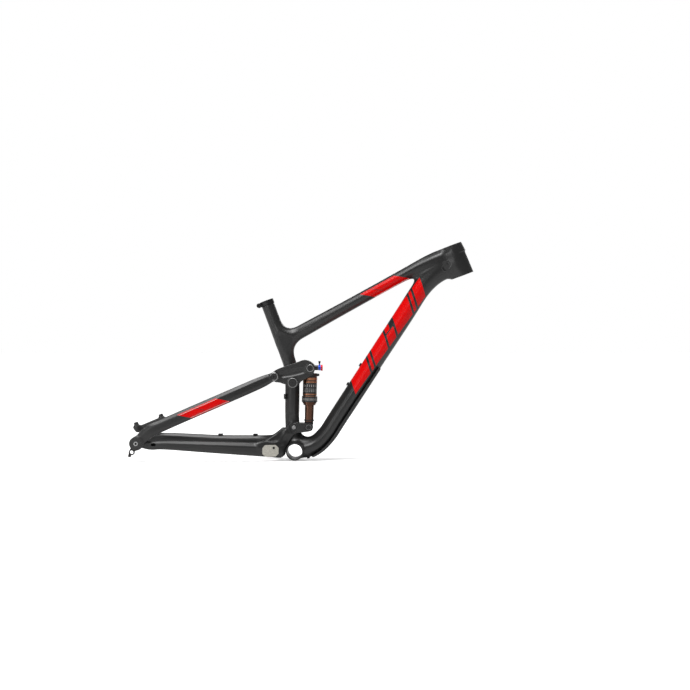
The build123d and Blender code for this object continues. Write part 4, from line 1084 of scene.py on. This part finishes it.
def socket_heads(name, at, face, radius, height, body, *nodes):
    """A pair of bolt heads with hexagon sockets, one on each side, on their common axle."""
    turns, points, faces = 48, [], []
    for side in (-1, 1):
        start = len(points)
        # Rows of rise, share of the radius, and whether the ring is a hexagon.
        rows = [(-face, 1.0, False), (height * 0.7, 1.0, False), (height, 0.86, False), (height, 0.5, True),
                (height * 0.15, 0.5, True)]
        for rise, share, hexagon in rows:
            for k in range(turns):
                turn = 2 * math.pi * k / turns
                reach = radius * share
                if hexagon:
                    reach *= math.cos(math.pi / 6) / math.cos(turn % (math.pi / 3) - math.pi / 6)
                points.append((at[0] + reach * math.cos(turn), side * (face + rise),
                               at[1] + reach * math.sin(turn)))
        for row in range(len(rows) - 1):
            for k in range(turns):
                a, b = start + row * turns + k, start + row * turns + (k + 1) % turns
                faces.append((a, b, b + turns, a + turns))
        faces += [tuple(range(start, start + turns)), tuple(range(len(points) - turns, len(points)))]
    piece = make_object(name, points, faces)
    mesh = bmesh.new()
    mesh.from_mesh(piece.data)
    bmesh.ops.recalc_face_normals(mesh, faces=mesh.faces)
    mesh.to_mesh(piece.data)
    mesh.free()
    shade(piece.data)
    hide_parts(*nodes)
    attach(piece, body)
    return piece


# ------------------------------------------------------------------ build and finish
main_frame = build_front_triangle()
chainstay = build_chainstay()
seatstay = build_seatstay()
arms = [build_rocker_arm(-1, "rocker_arm_right_shell"), build_rocker_arm(1, "rocker_arm_left_shell")]
guard = build_guard()
can, sleeve, seal = build_shock()
pocket_floor = YOKE_OUT - POCKET_DEPTH - 0.2
pivot_bolts = socket_heads("main_pivot_bolts", MAIN, pocket_floor, 5.8, 2.4, "chainstay",
                           "main_pivot_axle", "main_pivot_caps")
# Name, place, face, outer and inner radius, height, body.
RINGS = [
    ("stay_ring_", STAY, STAY_OUT - 0.2, 11.4, 8.2, 1.3, "seatstay"),
    ("eye_ring_", EYE_TOP, ARM_OUT - 0.2, 10.4, 7.6, 1.2, "rocker"),
    ("rocker_ring_", ROCKER, ARM_OUT - 0.2, 13.4, 11.0, 1.1, "rocker"),
    ("yoke_ring_", EYE_LOW, pocket_floor, 8.2, 6.4, 1.8, "chainstay"),
    ("axle_ring_", AXLE, RING_OUT - 0.3, 10.6, 7.0, 1.2, "seatstay"),
]
rings = [trim_ring(name + word, at, face, side, *sizes) for side, word in SIDES for name, at, face, *sizes in RINGS]

frame_paint = paint("frame_paint", [TOP_PATCH])
frame_paint.retint(tube_blocks)
# Painted shade and painted highlight round each cable port.
frame_paint.retint(painted_port_groove_and_lip)
stay_paint = paint("stay_paint", [STAY_PATCH])
leg_paint = paint("leg_paint")
# The legs' paint, with painted shade in the drive-side pocket.
leg_paint.retint(painted_pocket_shade)
plain_paint = paint("plain_paint")

FINISHES = {
    "guard": plain("guard_plastic", grey(0.012), grey(0.022), (0.55, 0.7), grain=1400, bump=0.5,
                   depth=0.00008),
    "black_alloy": plain("black_anodised", grey(0.012), grey(0.022), (0.3, 0.42), 0.55, grain=1800),
    "raw_alloy": plain("raw_alloy", grey(0.42), grey(0.62), (0.25, 0.4), 1.0, grain=900, stretch=(1, 0.05, 1)),
    "worn_black": plain("worn_black", grey(0.03), grey(0.06), (0.25, 0.36), 0.8, grain=1500),
    "worn_edge": plain("worn_edge", grey(0.20), grey(0.40), (0.22, 0.34), 0.9, grain=1500),
    "steel": plain("steel", grey(0.45), grey(0.62), (0.2, 0.34), 1.0, grain=1500),
    "black_steel": plain("black_steel", grey(0.012), grey(0.03), (0.28, 0.4), 0.6, grain=1500),
    "copper_alloy": plain("copper_anodised", (0.085, 0.040, 0.026, 1), (0.15, 0.068, 0.042, 1), (0.16, 0.26),
                          0.85, grain=500, stretch=(1, 1, 0.06)),
    "shock_black": plain("shock_black", grey(0.010), grey(0.018), (0.26, 0.36), 0.3, grain=1500),
    "rubber": plain("rubber", grey(0.010), grey(0.018), (0.6, 0.75), grain=1200, bump=0.3),
    "plate": plain("stamped_plate", (0.30, 0.29, 0.25, 1), (0.60, 0.58, 0.52, 1), (0.35, 0.55), 0.35,
                   grain=700, bump=0.35),
    "blue_alloy": plain("blue_anodised", (0.006, 0.045, 0.40, 1), (0.012, 0.07, 0.55, 1), (0.25, 0.36), 0.7),
    "red_alloy": plain("red_anodised", (0.45, 0.006, 0.006, 1), (0.62, 0.012, 0.012, 1), (0.25, 0.36), 0.7),
    "carbon": plain_paint.material,
}


def finish(piece, material):
    """Gives a piece its only material."""
    piece.data.materials.clear()
    piece.data.materials.append(material)


for part in frame["record"]["subparts"]:
    finish(NODES[part["node"]], FINISHES[part["material_slot"]])


def lever_look():
    """Blue collar with a black thumb tip."""
    g = Graph("lever")
    fine = g.noise(1500.0)
    tip = g.spread(g.coordinate(tuple(EYE_TOP), (0, 1)), 0.0, 1.0, 11.0, 11.6)
    g.set(Base_Color=g.mix(tip, (0.01, 0.06, 0.48, 1), grey(0.014)), Metallic=0.6,
          Roughness=g.spread(fine, 0.26, 0.4))
    g.bump(fine, 0.05, 0.00002)
    return g.material


def axle_look():
    """Black axle whose drive-side end is bare metal."""
    g = Graph("axle")
    end = g.coordinate((0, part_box("thru_axle")[0].y / MM + 3.0, 0), (0, 1, 0))
    fine = g.noise(1500.0)
    g.set(Base_Color=g.mix(g.spread(end, 1.0, 0.0, -0.1, 0.1), grey(0.02), grey(0.34)), Metallic=0.9,
          Roughness=g.spread(fine, 0.2, 0.34))
    g.bump(fine, 0.05, 0.00002)
    return g.material


finish(NODES["compression_lever"], lever_look())
finish(NODES["thru_axle"], axle_look())
finish(NODES["rocker_bearings"], FINISHES["black_steel"])
for node in ("stay_pivot_bolts", "shock_upper_bolt", "shock_lower_bolt", "rocker_pivot_caps", "main_pivot_caps",
             "stay_ring_caps"):
    finish(NODES[node], FINISHES["worn_black"])
finish(main_frame, frame_paint.material)
finish(seatstay, stay_paint.material)
finish(chainstay, leg_paint.material)
finish(guard, FINISHES["guard"])
finish(seal, FINISHES["copper_alloy"])
label = shock_label()
for piece in (can, sleeve):
    finish(piece, label)
for piece in arms:
    finish(piece, FINISHES["carbon"])
for piece in rings + [pivot_bolts]:
    finish(piece, FINISHES["worn_edge"])


# ------------------------------------------------------------------ stage, camera and light
LENS, CAMERA_AT = 74.5, (0.1394, -4.0, 0.2957)      # the photo's viewpoint


def add_lamp(name, at, aim, size, energy):
    """Rectangular lamp turned towards a point."""
    lamp = bpy.data.lights.new(name, "AREA")
    lamp.shape = "RECTANGLE"
    lamp.size, lamp.size_y = size
    lamp.energy = energy
    made = bpy.data.objects.new(name, lamp)
    made.location = at
    made.rotation_euler = (Vector(aim) - Vector(at)).to_track_quat("-Z", "Y").to_euler()
    bpy.context.scene.collection.objects.link(made)


VISUAL_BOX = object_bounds()
middle = (VISUAL_BOX[0] + VISUAL_BOX[1]) / 2
add_lamp("overhead", (middle.x - 0.2, -0.5, 2.2), middle, (2.4, 0.5), 24)
add_lamp("front", (middle.x - 1.1, -3.0, 1.0), middle, (0.7, 1.1), 11)
add_lamp("strip", (middle.x - 2.2, -1.6, 0.9), middle, (0.5, 2.0), 12)
add_lamp("back", (middle.x + 0.6, 2.2, 1.5), middle, (2.0, 1.0), 20)
sun = bpy.data.objects.new("sun", bpy.data.lights.new("sun", "SUN"))
sun.data.energy = 1.5
sun.data.angle = math.radians(25)
sun.rotation_euler = (math.radians(28), math.radians(-12), 0)
bpy.context.scene.collection.objects.link(sun)

reach = 60.0 / MM
floor = make_object("floor", [(-reach, -reach, 0), (reach, -reach, 0), (reach, reach, 0), (-reach, reach, 0)],
                    [(0, 1, 2, 3)], smooth=False)
floor.location.z = VISUAL_BOX[0].z - 0.001
ground = Graph("floor")
seen = ground.node("ShaderNodeLightPath").outputs["Is Camera Ray"]
ground.set(Base_Color=ground.mix(ground.noise(30.0), grey(0.90), grey(0.93)), Roughness=0.9,
           Specular_IOR_Level=0.1, Emission_Color=grey(1.0), Emission_Strength=ground.math("MULTIPLY", seen, 0.42))
finish(floor, ground.material)

world = bpy.data.worlds.new("studio")
bpy.context.scene.world = world
world.use_nodes = True
tree = world.node_tree
background = tree.nodes["Background"]
path = tree.nodes.new("ShaderNodeLightPath")
strength = tree.nodes.new("ShaderNodeMapRange")
tree.links.new(path.outputs["Is Camera Ray"], strength.inputs["Value"])
strength.inputs["To Min"].default_value = 0.26
strength.inputs["To Max"].default_value = 1.0
tree.links.new(strength.outputs[0], background.inputs["Strength"])
background.inputs["Color"].default_value = (1, 1, 1, 1)

camera = bpy.data.objects.new("camera", bpy.data.cameras.new("camera"))
camera.data.lens = LENS
camera.location = CAMERA_AT
camera.rotation_euler = (math.pi / 2, 0, 0)
bpy.context.scene.collection.objects.link(camera)
bpy.context.scene.camera = camera
bpy.context.scene.view_settings.view_transform = "Standard"
